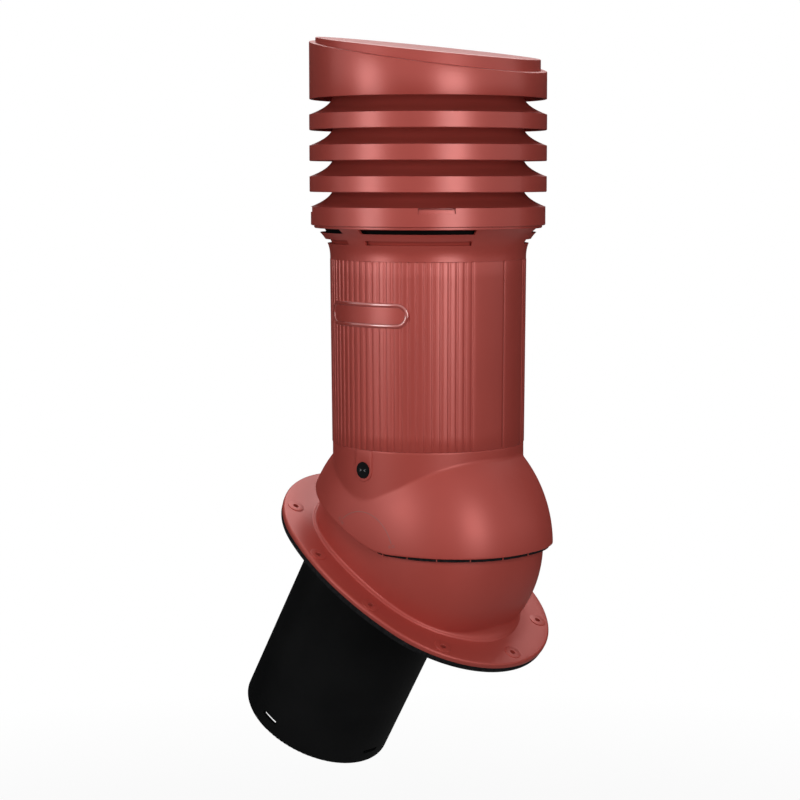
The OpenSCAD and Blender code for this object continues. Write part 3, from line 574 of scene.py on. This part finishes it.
def dome_shell():
    """Dome and neck as polar slices about the tube axis, with the spigot inside the tube."""
    turns = circle(320)
    rings = []

    def outside(level, inset=0.0, k=CREASE):
        body = reach_at(turns, level + 0 * turns, DOME_R - inset, DOME_W - inset, DOME_EXP)
        return smooth_max(body, np.full_like(turns, NECK_R - inset), k)

    def rim(inset, k):
        level = np.full_like(turns, 20.0)
        for _ in range(40):
            level = 0.5 * level + 0.5 * rim_level(outside(level, inset, k) * np.cos(turns))
        return level

    def ring(reach, level):
        rings.append(around(P, turns, reach, level))

    low = rim(0.0, CREASE)
    edge = 0.7
    for a in (60, 30):
        a = math.radians(a)
        level = low + edge * (1 - math.sin(a))
        ring(outside(level) - edge * (1 - math.cos(a)), level)
    for t in np.linspace(0, 1, 64):
        level = low + edge + (NECK_TOP - 0.5 - low - edge) * t
        ring(outside(level), level)
    ring(NECK_R - 0.15, NECK_TOP - 0.15)
    ring(NECK_R - 0.5, NECK_TOP)
    ring(PLUG_R, NECK_TOP)
    ring(PLUG_R, PLUG_TOP - 0.8)
    ring(PLUG_R - 0.8, PLUG_TOP)
    ring(PLUG_R - WALL, PLUG_TOP)
    ring(PLUG_R - WALL, NECK_TOP - STEP_DOWN)
    inner_low = rim(WALL, INNER_CREASE)
    for t in np.linspace(1, 0, 26):
        level = inner_low + 0.4 + (NECK_TOP - STEP_DOWN - inner_low - 0.4) * t
        ring(outside(level, WALL, INNER_CREASE), level)
    ring(outside(inner_low, WALL, INNER_CREASE) + 0.4, inner_low)
    ring(outside(low) - 1.2, low)
    return stack(rings)


def button_pad(side):
    """Raised U round a button, from under the tube down to below the button."""
    outline, hole = [], []
    count = 40
    for i in range(count + 1):
        a = math.pi + math.pi * i / count
        outline.append((BUTTON_PAD_R * math.cos(a), BUTTON_H + BUTTON_PAD_R * math.sin(a)))
        hole.append((math.cos(a), math.sin(a)))
    top = NECK_TOP - 0.05
    upper = 28
    for i in range(1, upper):
        a = math.pi * i / upper
        x, z = math.cos(a), math.sin(a)
        stretch = min(BUTTON_PAD_R / max(abs(x), 1e-6), (top - BUTTON_H) / max(z, 1e-6))
        outline.append((x * stretch, BUTTON_H + z * stretch))
        hole.append((x, z))
    inner = [(x * (BUTTON_R + 0.08), BUTTON_H + z * (BUTTON_R + 0.08)) for x, z in hole]

    def on_neck(x, h, lift):
        return P(x, side * math.sqrt((NECK_R + lift) ** 2 - x * x), h)

    rings = []
    for share, lift in ((0, -2.0), (0, BUTTON_PAD_T - 0.2), (0.12, BUTTON_PAD_T), (0.5, BUTTON_PAD_T),
                        (0.88, BUTTON_PAD_T), (1, BUTTON_PAD_T - 0.25), (1, -2.0)):
        rings.append([on_neck(a[0] + (b[0] - a[0]) * share, a[1] + (b[1] - a[1]) * share, lift)
                      for a, b in zip(inner, outline)])
    return stack(rings)


def bearing_arm(side):
    """Cross wall in the neck with the arm that carries a pivot pin."""
    wide = math.sqrt((NECK_R - WALL + 0.4) ** 2 - (ARM_Y + ARM_T) ** 2)
    top = NECK_TOP - STEP_DOWN
    shoulder = math.sqrt(ARM_END_R**2 - ARM_HALF**2)
    outline = [(ARM_HALF, ARM_WALL_H), (wide, ARM_WALL_H), (wide, top)]
    outline += [(-x, h) for x, h in reversed(outline)]
    first = math.pi - math.asin(shoulder / ARM_END_R)
    for i in range(25):
        a = first + (math.pi + 2 * math.asin(shoulder / ARM_END_R)) * i / 24
        outline.append((ARM_END_R * math.cos(a), ARM_END_R * math.sin(a)))
    return solid_stack([[P(x, side * y, h) for x, h in outline] for y in (ARM_Y, ARM_Y + ARM_T)])


def ball_reach(turns, level, lift):
    """Distance from the tube axis to a surface just outside the ball."""
    return reach_at(turns, level, BALL_R + lift, BALL_W + lift, BALL_EXP)


def dome_inside(turns, level):
    """Distance from the tube axis to the inside of the dome, no more than at its rim."""
    size = (DOME_R - WALL, DOME_W - WALL, DOME_EXP)
    return np.minimum(reach_at(turns, level, *size), reach_at(turns, 0 * turns + RIM_H, *size))


def rim_rib(degrees, low, high):
    """Upright spacer rib between the ball and the dome, at an angle about the tube axis."""
    a = math.radians(degrees)
    turn = np.array([a])
    across = Vector((-math.sin(a), math.cos(a), 0)) * RIB_W / 2000
    rings = []
    for level in np.linspace(low, high, 9):
        inner = ball_reach(turn, level, 0.35)[0]
        outer = dome_inside(turn, level)[0] + 0.5
        start, end = (P(r * math.cos(a), r * math.sin(a), level) for r in (inner, outer))
        rings.append([start - across, end - across, end + across, start + across])
    return solid_stack(rings)


dome = piece("dome_and_neck", [dome_shell()], "riser", LOW_FINISH, ["pitch_dome"], angle=40)
drills = []
for side in (1, -1):
    place = P(0, side * (NECK_R - BUTTON_BORE / 2), BUTTON_H)
    drills.append(rod(place, (ALONG_X, ALONG_Z), side * ALONG_Y, BUTTON_R + BUTTON_PLAY, 0, BUTTON_BORE, 48))
bored(dome, drills, angle=40)
piece("button_pads", [button_pad(1), button_pad(-1)], "riser", LOW_FINISH)
piece("bearing_arms", [bearing_arm(1), bearing_arm(-1)], "riser", LOW_FINISH)
ribs = [rim_rib(RIB_PITCH * k, RIM_H - SEAL_SHADE_DROP, RIM_H + 17) for k in range(-5, 6)]
for k in range(-3, 4):
    start = RIM_BACK_H + RIM_SLOPE * 120 * math.cos(math.radians(RIB_PITCH * k))
    ribs.append(rim_rib(180 + RIB_PITCH * k, start + 2, start + 16))
piece("rim_ribs", ribs, "riser", LOW_FINISH)


def rim_seal_painted_shade():
    """Black seal strip in the gap between dome and ball, dropped so that it shows under the rim on the downhill side.
    Its black is partly painted shade, standing for the dark gap under the rim.
    """
    turns = np.radians(np.linspace(-SEAL_SHADE_END, SEAL_SHADE_END, 159))
    drop = SEAL_SHADE_DROP * np.clip((SEAL_SHADE_END - np.abs(np.degrees(turns))) / SEAL_SHADE_FADE, 0, 1) ** 0.5
    rings = []
    for share, rise in ((1, 6.0), (1, 0), (0.92, -0.25), (0.1, -0.25), (0, 0), (0, 6.0)):
        level = RIM_H - drop + rise
        inner, outer = ball_reach(turns, level, 0.3), dome_inside(turns, level) - 0.1
        rings.append(around(P, turns, inner + (outer - inner) * share, level))
    return strip(rings)


# Black seal strip under the rim; its black is also painted shade for the gap between dome and ball.
piece("rim_seal_painted_shade", [rim_seal_painted_shade()], "riser", FINISH["foam_rubber"], angle=50)


# Scale marks on both sides of the dome and marks on the buttons


def on_dome(x, h, side, lift):
    """Point just off the dome's side, from its place in the side view."""
    y = float((1 - min(math.hypot(x, h) / DOME_R, 1) ** DOME_EXP) ** (1 / DOME_EXP)) * DOME_W + lift
    return P(x, side * y, h)


ARC_R, ARC_FROM, ARC_TO, ARC_WIDE = 37.5, 18.7, 131.0, 0.6
TEXT_SIZE, TEXT_GAP = 3.7, 4.0


def scale_arc(side):
    rings = []
    for r, lift in ((-1, -0.2), (-1, 0.02), (-0.5, 0.09), (0.5, 0.09), (1, 0.02), (1, -0.2)):
        r = ARC_R + r * ARC_WIDE / 2
        turns = np.radians(np.linspace(ARC_FROM, ARC_TO, 90))
        rings.append([on_dome(r * math.cos(a), r * math.sin(a), side, lift) for a in turns])
    return stack(rings, closed=False)


def scale_text(words, degrees, side):
    """Numbers set across the end of the arc, readable from outside."""
    curve = bpy.data.curves.new("numbers", "FONT")
    curve.body, curve.size = words, TEXT_SIZE
    curve.align_x, curve.align_y = "CENTER", "CENTER"
    curve.resolution_u = 4
    holder = bpy.data.objects.new("numbers", curve)
    bpy.context.scene.collection.objects.link(holder)
    flat = bpy.data.meshes.new_from_object(holder.evaluated_get(bpy.context.evaluated_depsgraph_get()))
    bpy.data.objects.remove(holder)
    a = math.radians(degrees)
    out = Vector((math.cos(a), math.sin(a)))
    right = out if (out.x > 0) == (side < 0) else -out
    up = Vector((-right.y, right.x)) if side < 0 else Vector((right.y, -right.x))
    if up.y < 0:
        right, up = -right, -up
    middle = out * ARC_R
    points = []
    for v in flat.vertices:
        place = middle + right * v.co.x + up * v.co.y
        points.append(on_dome(place.x, place.y, side, 0.1))
    return points, [tuple(p.vertices) for p in flat.polygons]


marks = [scale_arc(-1), scale_arc(1)]
for side in (-1, 1):
    marks.append(scale_text("0-22", ARC_FROM - TEXT_GAP, side))
    marks.append(scale_text("22-50", ARC_TO + TEXT_GAP, side))
piece("dome_scale", marks, "riser", SCALE_FINISH)


def button_mark(side):
    """Two small arrowheads that point at each other."""
    parts = []
    for flip in (-1, 1):
        shape = [(flip * 1.0, 0), (flip * 3.6, 1.5), (flip * 3.0, 0), (flip * 3.6, -1.5)]
        points = [P(x, side * (BUTTON_OUT + 0.04), BUTTON_H + z) for x, z in shape]
        parts.append((points, [(0, 1, 2, 3)]))
    return parts


piece("button_front_mark", button_mark(-1), "front_button", PALE_FINISH)
piece("button_rear_mark", button_mark(1), "rear_button", PALE_FINISH)


# Outer tube and badge plate


def tube_radius(h):
    """Outer radius of the slightly conical tube at a height."""
    return TUBE_LOW_R + (TUBE_TOP_R - TUBE_LOW_R) * (h - NECK_TOP) / (TUBE_TOP - NECK_TOP)


def tube_shell():
    """Tube with two fields of upright grooves, two smooth fields and a seam in each of those."""
    shape = ((-1.05, 0), (-0.85, 0.12), (-0.68, 0.62), (-0.5, 0.95), (-0.25, 1), (0.25, 1), (0.5, 0.95), (0.68, 0.62),
             (0.85, 0.12), (1.05, 0), (1.9, 0), (2.75, 0))
    columns = []
    for side in (-90, 90):
        for j in range(-GROOVES, GROOVES):
            centre = side + GROOVE_PITCH * (j + 0.5)
            columns += [(centre + da, depth) for da, depth in shape if j < GROOVES - 1 or da < 1.2]
        edge = side + GROOVE_PITCH * (GROOVES - 0.5) + 1.05
        gap = 180 - 2 * (edge - side)
        columns += [(edge + gap * i / 24, 0.0) for i in range(1, 24)]
        middle = side + 90
        columns += [(middle - 0.28, 0.0), (middle - 0.12, 0.3), (middle + 0.12, 0.3), (middle + 0.28, 0.0)]
    columns = sorted({round(a % 360, 4): d for a, d in columns}.items())
    turns, depths = np.radians([a for a, _ in columns]), np.array([d for _, d in columns])
    rows = [(NECK_TOP, -0.9), (NECK_TOP, -0.45), (NECK_TOP + 0.12, -0.13), (NECK_TOP + 0.45, 0)]
    rows += [(NECK_TOP + 0.45 + (TUBE_TOP - NECK_TOP - 0.9) * i / 12, 0) for i in range(1, 13)]
    rows += [(TUBE_TOP - 0.12, -0.13), (TUBE_TOP, -0.45)]
    rings = [around(P, turns, tube_radius(h) + back - GROOVE_DEPTH * depths, h) for h, back in rows]
    return stack(rings + [around(P, turns, tube_radius(h) - WALL, h) for h in (TUBE_TOP, NECK_TOP)])


piece("ribbed_tube", [tube_shell()], "riser", FINISH["brick_plastic"], ["outer_tube"], angle=60)


def badge_line(inset):
    """Outline of the badge with round ends, as (along, up) points."""
    r, reach = BADGE_HIGH / 2 - inset, (BADGE_LONG - BADGE_HIGH) / 2
    line = [(reach + r * math.sin(math.pi * i / 24), r * math.cos(math.pi * i / 24)) for i in range(25)]
    line += [(reach - 2 * reach * i / 40, -r) for i in range(1, 40)]
    line += [(-reach - r * math.sin(math.pi * i / 24), -r * math.cos(math.pi * i / 24)) for i in range(25)]
    return line + [(-reach + 2 * reach * i / 40, r) for i in range(1, 40)]


def badge_rim():
    """Raised rounded rim round the badge."""
    profile = ((0, -1.2), (0, 0.4), (0.1, 0.65), (0.4, 0.95), (1.0, 1.2), (1.7, 1.3), (2.3, 1.28), (2.9, 1.15),
               (3.3, 0.95), (3.6, 0.7), (3.75, -1.2))
    return stack([[on_tube(u, BADGE_H + v, lift) for u, v in badge_line(inset)] for inset, lift in profile])


def badge_field():
    """Bare field inside the rim."""
    rings = [[on_tube(u, BADGE_H + v, -1.2) for u, v in badge_line(3.7)]]
    reach = (BADGE_LONG - BADGE_HIGH) / 2
    for share in (1, 0.66, 0.33, 0):
        line = [(max(-reach, min(reach, u)), u, v) for u, v in badge_line(3.7)]
        rings.append([on_tube(middle + (u - middle) * share, BADGE_H + v * share, 0.55) for middle, u, v in line])
    return stack(rings, joined=False)


def on_tube(u, h, lift):
    """Point off the front of the tube, from its place along its girth and its height."""
    r = tube_radius(h) + lift
    a = u / tube_radius(BADGE_H) - math.pi / 2
    return P(r * math.cos(a), r * math.sin(a), h)


piece("badge_rim", [badge_rim()], "riser", BADGE_FINISH, angle=60)
piece("badge_field", [badge_field()], "riser", FINISH["brick_plastic"], ["badge_plate"], angle=60)


# Flared collar with two rows of slots, a guard behind them, and the recesses over its tabs

FLARE_R, FLARE_TOP_R, FLARE_RISE, FLARE_POWER = 91.7, 106.5, 29.3, 2.6
COLLAR_WALL, COLLAR_PLUG_R, COLLAR_PLUG, COLLAR_LIP = 2.5, 88.2, 16.0, 2.0
SLOT_ROWS = ((24.6, 4.1), (14.5, 4.0))
SLOT_FROM, SLOT_TO, SLOT_TURN = 22.5, 83.5, -2.2
SLOT_IN_R, SLOT_OUT_R = 84, 112
RING_R, RING_WALL, WINDOW_A, WINDOW_HIGH, RING_HIGH = 109.5, 2.4, 17.5, 5.0, 17.0


def lathe(profile, count=360):
    """Closed profile of (radius, height) turned about the tube axis."""
    return stack([around(P, circle(count), r, h) for r, h in profile])


def block(first, last, r_in, r_out, low, high, steps=40):
    """Closed part of a ring between two angles, with a height for each corner."""
    turns = np.radians(np.linspace(first, last, steps))
    return strip([around(P, turns, r, h) for r, h in ((r_in, low), (r_out, low), (r_out, high), (r_in, high))])


def flare(z):
    """Outer radius of the collar at a height above the tube's top."""
    return FLARE_R + (FLARE_TOP_R - FLARE_R) * (z / FLARE_RISE) ** FLARE_POWER


def collar_profile():
    """Flare with a lip at its top and a plug that stands in the tube."""
    steps = 24
    top = TUBE_TOP + FLARE_RISE + COLLAR_LIP
    out = [(flare(FLARE_RISE * i / steps), TUBE_TOP + FLARE_RISE * i / steps) for i in range(steps + 1)]
    back = [(r - COLLAR_WALL, h + 0.3 * COLLAR_WALL * (h - TUBE_TOP) / FLARE_RISE) for r, h in reversed(out)]
    plug_in = COLLAR_PLUG_R - COLLAR_WALL
    plug_low = TUBE_TOP - COLLAR_PLUG
    plug = [(plug_in, TUBE_TOP), (plug_in, plug_low), (COLLAR_PLUG_R, plug_low), (COLLAR_PLUG_R, TUBE_TOP)]
    return out + [(FLARE_TOP_R, top), (FLARE_TOP_R - COLLAR_WALL, top)] + back + plug


collar = piece(
    "flared_collar", [lathe(collar_profile())],
    "riser", FINISH["brick_plastic"], ["slotted_collar"], angle=40,
)
slots = []
for rise, tall in SLOT_ROWS:
    for quarter in range(4):
        first, last = (SLOT_FROM, SLOT_TO) if quarter % 2 == 0 else (90 - SLOT_TO, 90 - SLOT_FROM)
        first, last = 90 * quarter + first + SLOT_TURN, 90 * quarter + last + SLOT_TURN
        slots.append(block(first, last, SLOT_IN_R, SLOT_OUT_R, TUBE_TOP + rise, TUBE_TOP + rise + tall))
bored(collar, slots, angle=40)

GUARD = ((88.6, 10.5), (89.6, 14.2), (93.2, 21.2), (93.0, 21.6), (91.6, 21.6), (87.5, 14.2), (86.6, 10.5))
# Black screen ring behind the upper slots; its black is also painted shade that keeps those slots dark.
SHADE_SCREEN = ((93.4, 21.5), (97.0, 28.4), (96.8, 28.9), (95.4, 28.9), (91.8, 21.7))
for name, profile, key in (("collar_guard", GUARD, "brick_plastic"), ("guard_screen_painted_shade", SHADE_SCREEN, "black_plastic")):
    piece(name, [lathe([(r, TUBE_TOP + rise) for r, rise in profile], 240)], "riser", FINISH[key])


def window_ramp(angle):
    """Sloping floor of a recess in the lowest cap ring, over a tab of the collar."""
    top = TUBE_TOP + FLARE_RISE + COLLAR_LIP + RING_HIGH
    low = top - WINDOW_HIGH
    turns = np.radians(np.linspace(angle - WINDOW_A / 2 + 0.05, angle + WINDOW_A / 2 - 0.1, 24))
    inner = RING_R - RING_WALL + 0.1
    profile = ((inner, low - 0.3), (RING_R - 1.4, low - 0.3), (RING_R - 1.35, low + 0.25), (RING_R - 2.2, top - 1.0),
               (inner, top - 1.0))
    return strip([around(P, turns, r, h) for r, h in profile])


ramps = [window_ramp(a) for a in (45, 135, 225, 315)]
piece("window_ramps", ramps, "cap", FINISH["brick_plastic"])


# Cap cover: skirt, ledge and raised top, whose top falls a little less than the ledge

CAP_R, CAP_LOW, CAP_LEDGE, CAP_TOP, CAP_INSET, CAP_WALL = 110.4, 413.6, 453.4, 460.8, 5.9, 2.6
ROD_CIRCLE, BOSS_R, BOSS_HOLE, BOSS_LOW, BOSS_DEEP = 79.0, 6.0, 2.6, 416.85, 15.0
LEDGE_FALL, TOP_FALL = math.tan(math.radians(9.5)), math.tan(math.radians(7.5))


def cap():
    """Skirt, ledge and raised disc in one closed profile of radius, level and fall."""
    inner, disc = CAP_R - CAP_WALL, CAP_R - CAP_INSET
    profile = [(inner, CAP_LOW + 0.6, 0), (inner + 0.4, CAP_LOW, 0)]
    profile += [(CAP_R - a, CAP_LOW + b, 0) for a, b in ((0.6, 0), (0.15, 0.15), (0, 0.6))]
    profile += [(CAP_R - a, CAP_LEDGE - b, LEDGE_FALL) for a, b in ((0, 0.6), (0.15, 0.15), (0.6, 0))]
    profile += [(disc + a, CAP_LEDGE + b, LEDGE_FALL) for a, b in ((0.45, 0), (0.12, 0.12), (0, 0.45))]
    profile += [(disc - a, CAP_TOP - b, TOP_FALL) for a, b in ((0, 0.8), (0.2, 0.25), (0.8, 0))]
    profile += [(r, CAP_TOP, TOP_FALL) for r in (80, 50, 20, 0.05)]
    profile += [(r, CAP_TOP - CAP_WALL, TOP_FALL) for r in (0.05, 50, disc - CAP_WALL)]
    profile += [(r, CAP_LEDGE - CAP_WALL, LEDGE_FALL) for r in (disc - CAP_WALL, inner)]
    turns = circle(360)
    return stack([around(P, turns, r, level - fall * r * np.cos(turns)) for r, level, fall in profile])


def cap_boss(angle):
    """Boss under the cap's top with a blind hole for a tie rod."""
    turns = circle(48)
    x, y = ROD_CIRCLE * math.cos(angle), ROD_CIRCLE * math.sin(angle)
    deep, top = BOSS_LOW + BOSS_DEEP, CAP_TOP - CAP_WALL + 0.5
    profile = ((0.02, deep, 0), (BOSS_HOLE, deep, 0), (BOSS_HOLE, BOSS_LOW, 0), (BOSS_R, BOSS_LOW, 0),
               (BOSS_R, top, TOP_FALL), (0.02, top, TOP_FALL))
    return stack([around(P, turns, r, level - fall * (x + r * np.cos(turns)), x, y) for r, level, fall in profile])


piece(
    "sloping_cap", [cap()] + [cap_boss(k * math.pi / 2) for k in range(4)],
    "cap", FINISH["brick_plastic"], ["cap_cover"], angle=50,
)


# Flexible hose


def hose():
    """Cuff, folded bend and cuff along the line from the lower spigot to the inner duct."""
    length = HOSE_BEND_R * ROOF

    def cross(distance):
        """Middle and outward direction at a distance along the hose."""
        if distance < 0:
            a, extra = -ROOF, distance
        elif distance > length:
            a, extra = 0.0, distance - length
        else:
            a, extra = -ROOF + distance / HOSE_BEND_R, 0.0
        out = Vector((math.cos(a), 0, math.sin(a)))
        tangent = Vector((-math.sin(a), 0, math.cos(a)))
        middle = P(-HOSE_BEND_R, 0, HOSE_TOP) + out * HOSE_BEND_R / 1000 + tangent * extra / 1000
        return middle, out

    profile = [(-HOSE_CUFF, CUFF_LOW), (-0.5, CUFF_LOW), (0, HOSE_WALL)]
    steps = HOSE_FOLDS * 12
    for i in range(1, steps):
        wave = 0.5 - 0.5 * math.cos(2 * math.pi * HOSE_FOLDS * i / steps)
        profile.append((length * i / steps, HOSE_WALL + HOSE_FOLD * wave**0.8))
    profile += [(length, HOSE_WALL), (length + 0.5, CUFF_TOP), (length + HOSE_CUFF, CUFF_TOP)]
    outside, inside = [], []
    for distance, wall in profile:
        middle, out = cross(distance)
        thick = HOSE_WALL if 0 <= distance <= length else CUFF_WALL
        for rings, r in ((outside, HOSE_R + wall), (inside, HOSE_R + wall - thick)):
            rings.append([middle + (out * math.cos(a) + ALONG_Y * math.sin(a)) * r / 1000 for a in circle(96)])
    return stack(outside + inside[::-1])


low_end = P(-HOSE_BEND_R + HOSE_BEND_R * math.cos(ROOF), 0, HOSE_TOP - HOSE_BEND_R * math.sin(ROOF))
piece(
    "folded_hose", [hose()], None, FINISH["black_rubber"], ["flex_hose"], angle=50,
    blend=("base", "riser", tuple(low_end), tuple(P(0, 0, HOSE_TOP))),
)


# Button springs

for node_name, body in (("button_spring_front", "front_button"), ("button_spring_rear", "rear_button")):
    mesh = frame["nodes"][node_name].data
    place = frame["nodes"][node_name].matrix_world
    points = [place @ v.co for v in mesh.vertices]
    inner = min(points, key=lambda p: abs(p.y))
    outer = max(points, key=lambda p: abs(p.y))
    piece(
        node_name.replace("button_spring", "coil"), [(points, [tuple(p.vertices) for p in mesh.polygons])], None,
        FINISH["stainless"], [node_name],
        blend=("riser", body, (inner.x, inner.y, inner.z), (inner.x, outer.y, inner.z)),
    )


# Camera, light and floor

CAMERA_AT = Vector((1.2463, -1.3817, 0.36197))
CAMERA_DOWN = math.radians(5.629)
camera_data = bpy.data.cameras.new("camera")
camera_data.lens, camera_data.sensor_width = 87.8, 36.0
camera_data.shift_x, camera_data.shift_y = -0.0352, -0.0385
camera_data.clip_start, camera_data.clip_end = 0.05, 60
camera = bpy.data.objects.new("camera", camera_data)
bpy.context.scene.collection.objects.link(camera)
heading = Vector((PIVOT.x / 1000 - CAMERA_AT.x, -CAMERA_AT.y, 0)).normalized()
look = heading * math.cos(CAMERA_DOWN) - Vector((0, 0, math.sin(CAMERA_DOWN)))
camera.location = CAMERA_AT
camera.rotation_mode = "QUATERNION"
camera.rotation_quaternion = look.to_track_quat("-Z", "Y")
bpy.context.scene.camera = camera

TARGET, CAP_MIDDLE = P(0, 0, 180), P(0, 0, 400)


def soft_box(name, azimuth, elevation, distance, wide, high, radiance, at=TARGET):
    """Area light at an azimuth and elevation seen from the object, facing it."""
    a, e = math.radians(azimuth), math.radians(elevation)
    back = Vector((math.cos(a) * math.cos(e), math.sin(a) * math.cos(e), math.sin(e)))
    data = bpy.data.lights.new(name, "AREA")
    data.shape, data.size, data.size_y = "RECTANGLE", wide, high
    data.energy = radiance * math.pi * wide * high
    lamp = bpy.data.objects.new(name, data)
    bpy.context.scene.collection.objects.link(lamp)
    lamp.location = at + back * distance
    lamp.rotation_mode = "QUATERNION"
    lamp.rotation_quaternion = (-back).to_track_quat("-Z", "Y")
    lamp.visible_camera = False


soft_box("left_column", -104, 1, 1.4, 0.50, 0.72, 5.2, at=CAP_MIDDLE)
soft_box("right_column", -26, 1, 1.4, 0.58, 0.76, 6.2, at=CAP_MIDDLE)
soft_box("front_high", -49, 62, 2.4, 1.2, 0.9, 0.3)
soft_box("back_high", 120, 54, 2.3, 2.0, 1.6, 3.1)

CARD_FINISH = printed("dark_card", (0.008, 0.008, 0.008), (0.012, 0.012, 0.012))
BEHIND = 131.0


def dark_card(name, azimuth, distance, wide, high):
    """Dark studio card beside the picture, which keeps the edges of the object defined."""
    a = math.radians(azimuth)
    out = Vector((math.cos(a), math.sin(a), 0))
    side = Vector((-math.sin(a), math.cos(a), 0))
    middle = TARGET + out * distance
    corners = []
    for u, v in ((-1, -1), (1, -1), (1, 1), (-1, 1)):
        corners.append(tuple(middle + side * u * wide / 2 + ALONG_Z * v * high / 2))
    mesh = bpy.data.meshes.new(name)
    mesh.from_pydata(corners, [], [(0, 1, 2, 3)])
    mesh.materials.append(CARD_FINISH)
    card = bpy.data.objects.new(name, mesh)
    bpy.context.scene.collection.objects.link(card)
    card.visible_camera = False


dark_card("card_left", BEHIND + 50, 1.7, 2.0, 2.2)
dark_card("card_right", BEHIND - 50, 1.7, 2.0, 2.2)
dark_card("card_back", BEHIND, 1.9, 2.0, 1.7)

# The camera and mirrored rays see a white world, and all else is lit by a dimmer one

WORLD_LIGHT = 0.14
world = bpy.data.worlds.new("world")
bpy.context.scene.world = world
world.use_nodes = True
tree = world.node_tree
tree.nodes.clear()
path = tree.nodes.new("ShaderNodeLightPath")
ambient = tree.nodes.new("ShaderNodeBackground")
ambient.inputs["Strength"].default_value = WORLD_LIGHT
ambient.inputs["Color"].default_value = (1.0, 1.0, 1.0, 1)
shown = tree.nodes.new("ShaderNodeBackground")
shown.inputs["Strength"].default_value = 1.0
shown.inputs["Color"].default_value = (1, 1, 1, 1)
add_a = tree.nodes.new("ShaderNodeMath")
add_b = tree.nodes.new("ShaderNodeMath")
add_a.operation = add_b.operation = "ADD"
add_b.use_clamp = True
mix = tree.nodes.new("ShaderNodeMixShader")
out = tree.nodes.new("ShaderNodeOutputWorld")
tree.links.new(path.outputs["Is Camera Ray"], add_a.inputs[0])
tree.links.new(path.outputs["Is Glossy Ray"], add_a.inputs[1])
tree.links.new(add_a.outputs[0], add_b.inputs[0])
tree.links.new(path.outputs["Is Transmission Ray"], add_b.inputs[1])
tree.links.new(add_b.outputs[0], mix.inputs["Fac"])
tree.links.new(ambient.outputs[0], mix.inputs[1])
tree.links.new(shown.outputs[0], mix.inputs[2])
tree.links.new(mix.outputs[0], out.inputs["Surface"])

# Floor well below the object, which fades into white for the camera

FLOOR_DROP, FLOOR_HALF, FLOOR_GREY = 0.40, 14, 0.42
FADE_FROM, FADE_TO, FADE_LOW = 0.8, 1.9, 0.88
floor_mesh = bpy.data.meshes.new("floor")
low_z = cad_low.z - FLOOR_DROP
corners = [(u * FLOOR_HALF, v * FLOOR_HALF, low_z) for u, v in ((-1, -1), (1, -1), (1, 1), (-1, 1))]
floor_mesh.from_pydata(corners, [], [(0, 1, 2, 3)])
floor = bpy.data.objects.new("floor", floor_mesh)
bpy.context.scene.collection.objects.link(floor)
pale = bpy.data.materials.new("pale_floor")
pale.use_nodes = True
tree = pale.node_tree
tree.nodes.clear()
out = tree.nodes.new("ShaderNodeOutputMaterial")
diffuse = tree.nodes.new("ShaderNodeBsdfDiffuse")
diffuse.inputs["Color"].default_value = (FLOOR_GREY, FLOOR_GREY, FLOOR_GREY, 1)
glow = tree.nodes.new("ShaderNodeEmission")
glow.inputs["Strength"].default_value = 1.0
path = tree.nodes.new("ShaderNodeLightPath")
place = tree.nodes.new("ShaderNodeNewGeometry")
distance = tree.nodes.new("ShaderNodeVectorMath")
distance.operation = "LENGTH"
fade = tree.nodes.new("ShaderNodeMapRange")
fade.inputs["From Min"].default_value, fade.inputs["From Max"].default_value = FADE_FROM, FADE_TO
fade.inputs["To Min"].default_value, fade.inputs["To Max"].default_value = FADE_LOW, 1.0
both = tree.nodes.new("ShaderNodeMath")
both.operation = "MULTIPLY"
mix = tree.nodes.new("ShaderNodeMixShader")
tree.links.new(place.outputs["Position"], distance.inputs[0])
tree.links.new(distance.outputs["Value"], fade.inputs["Value"])
tree.links.new(fade.outputs["Result"], both.inputs[0])
tree.links.new(path.outputs["Is Camera Ray"], both.inputs[1])
tree.links.new(both.outputs[0], mix.inputs["Fac"])
tree.links.new(diffuse.outputs[0], mix.inputs[1])
tree.links.new(glow.outputs[0], mix.inputs[2])
tree.links.new(mix.outputs[0], out.inputs["Surface"])
floor_mesh.materials.append(pale)

bpy.context.scene.view_settings.view_transform = "Standard"
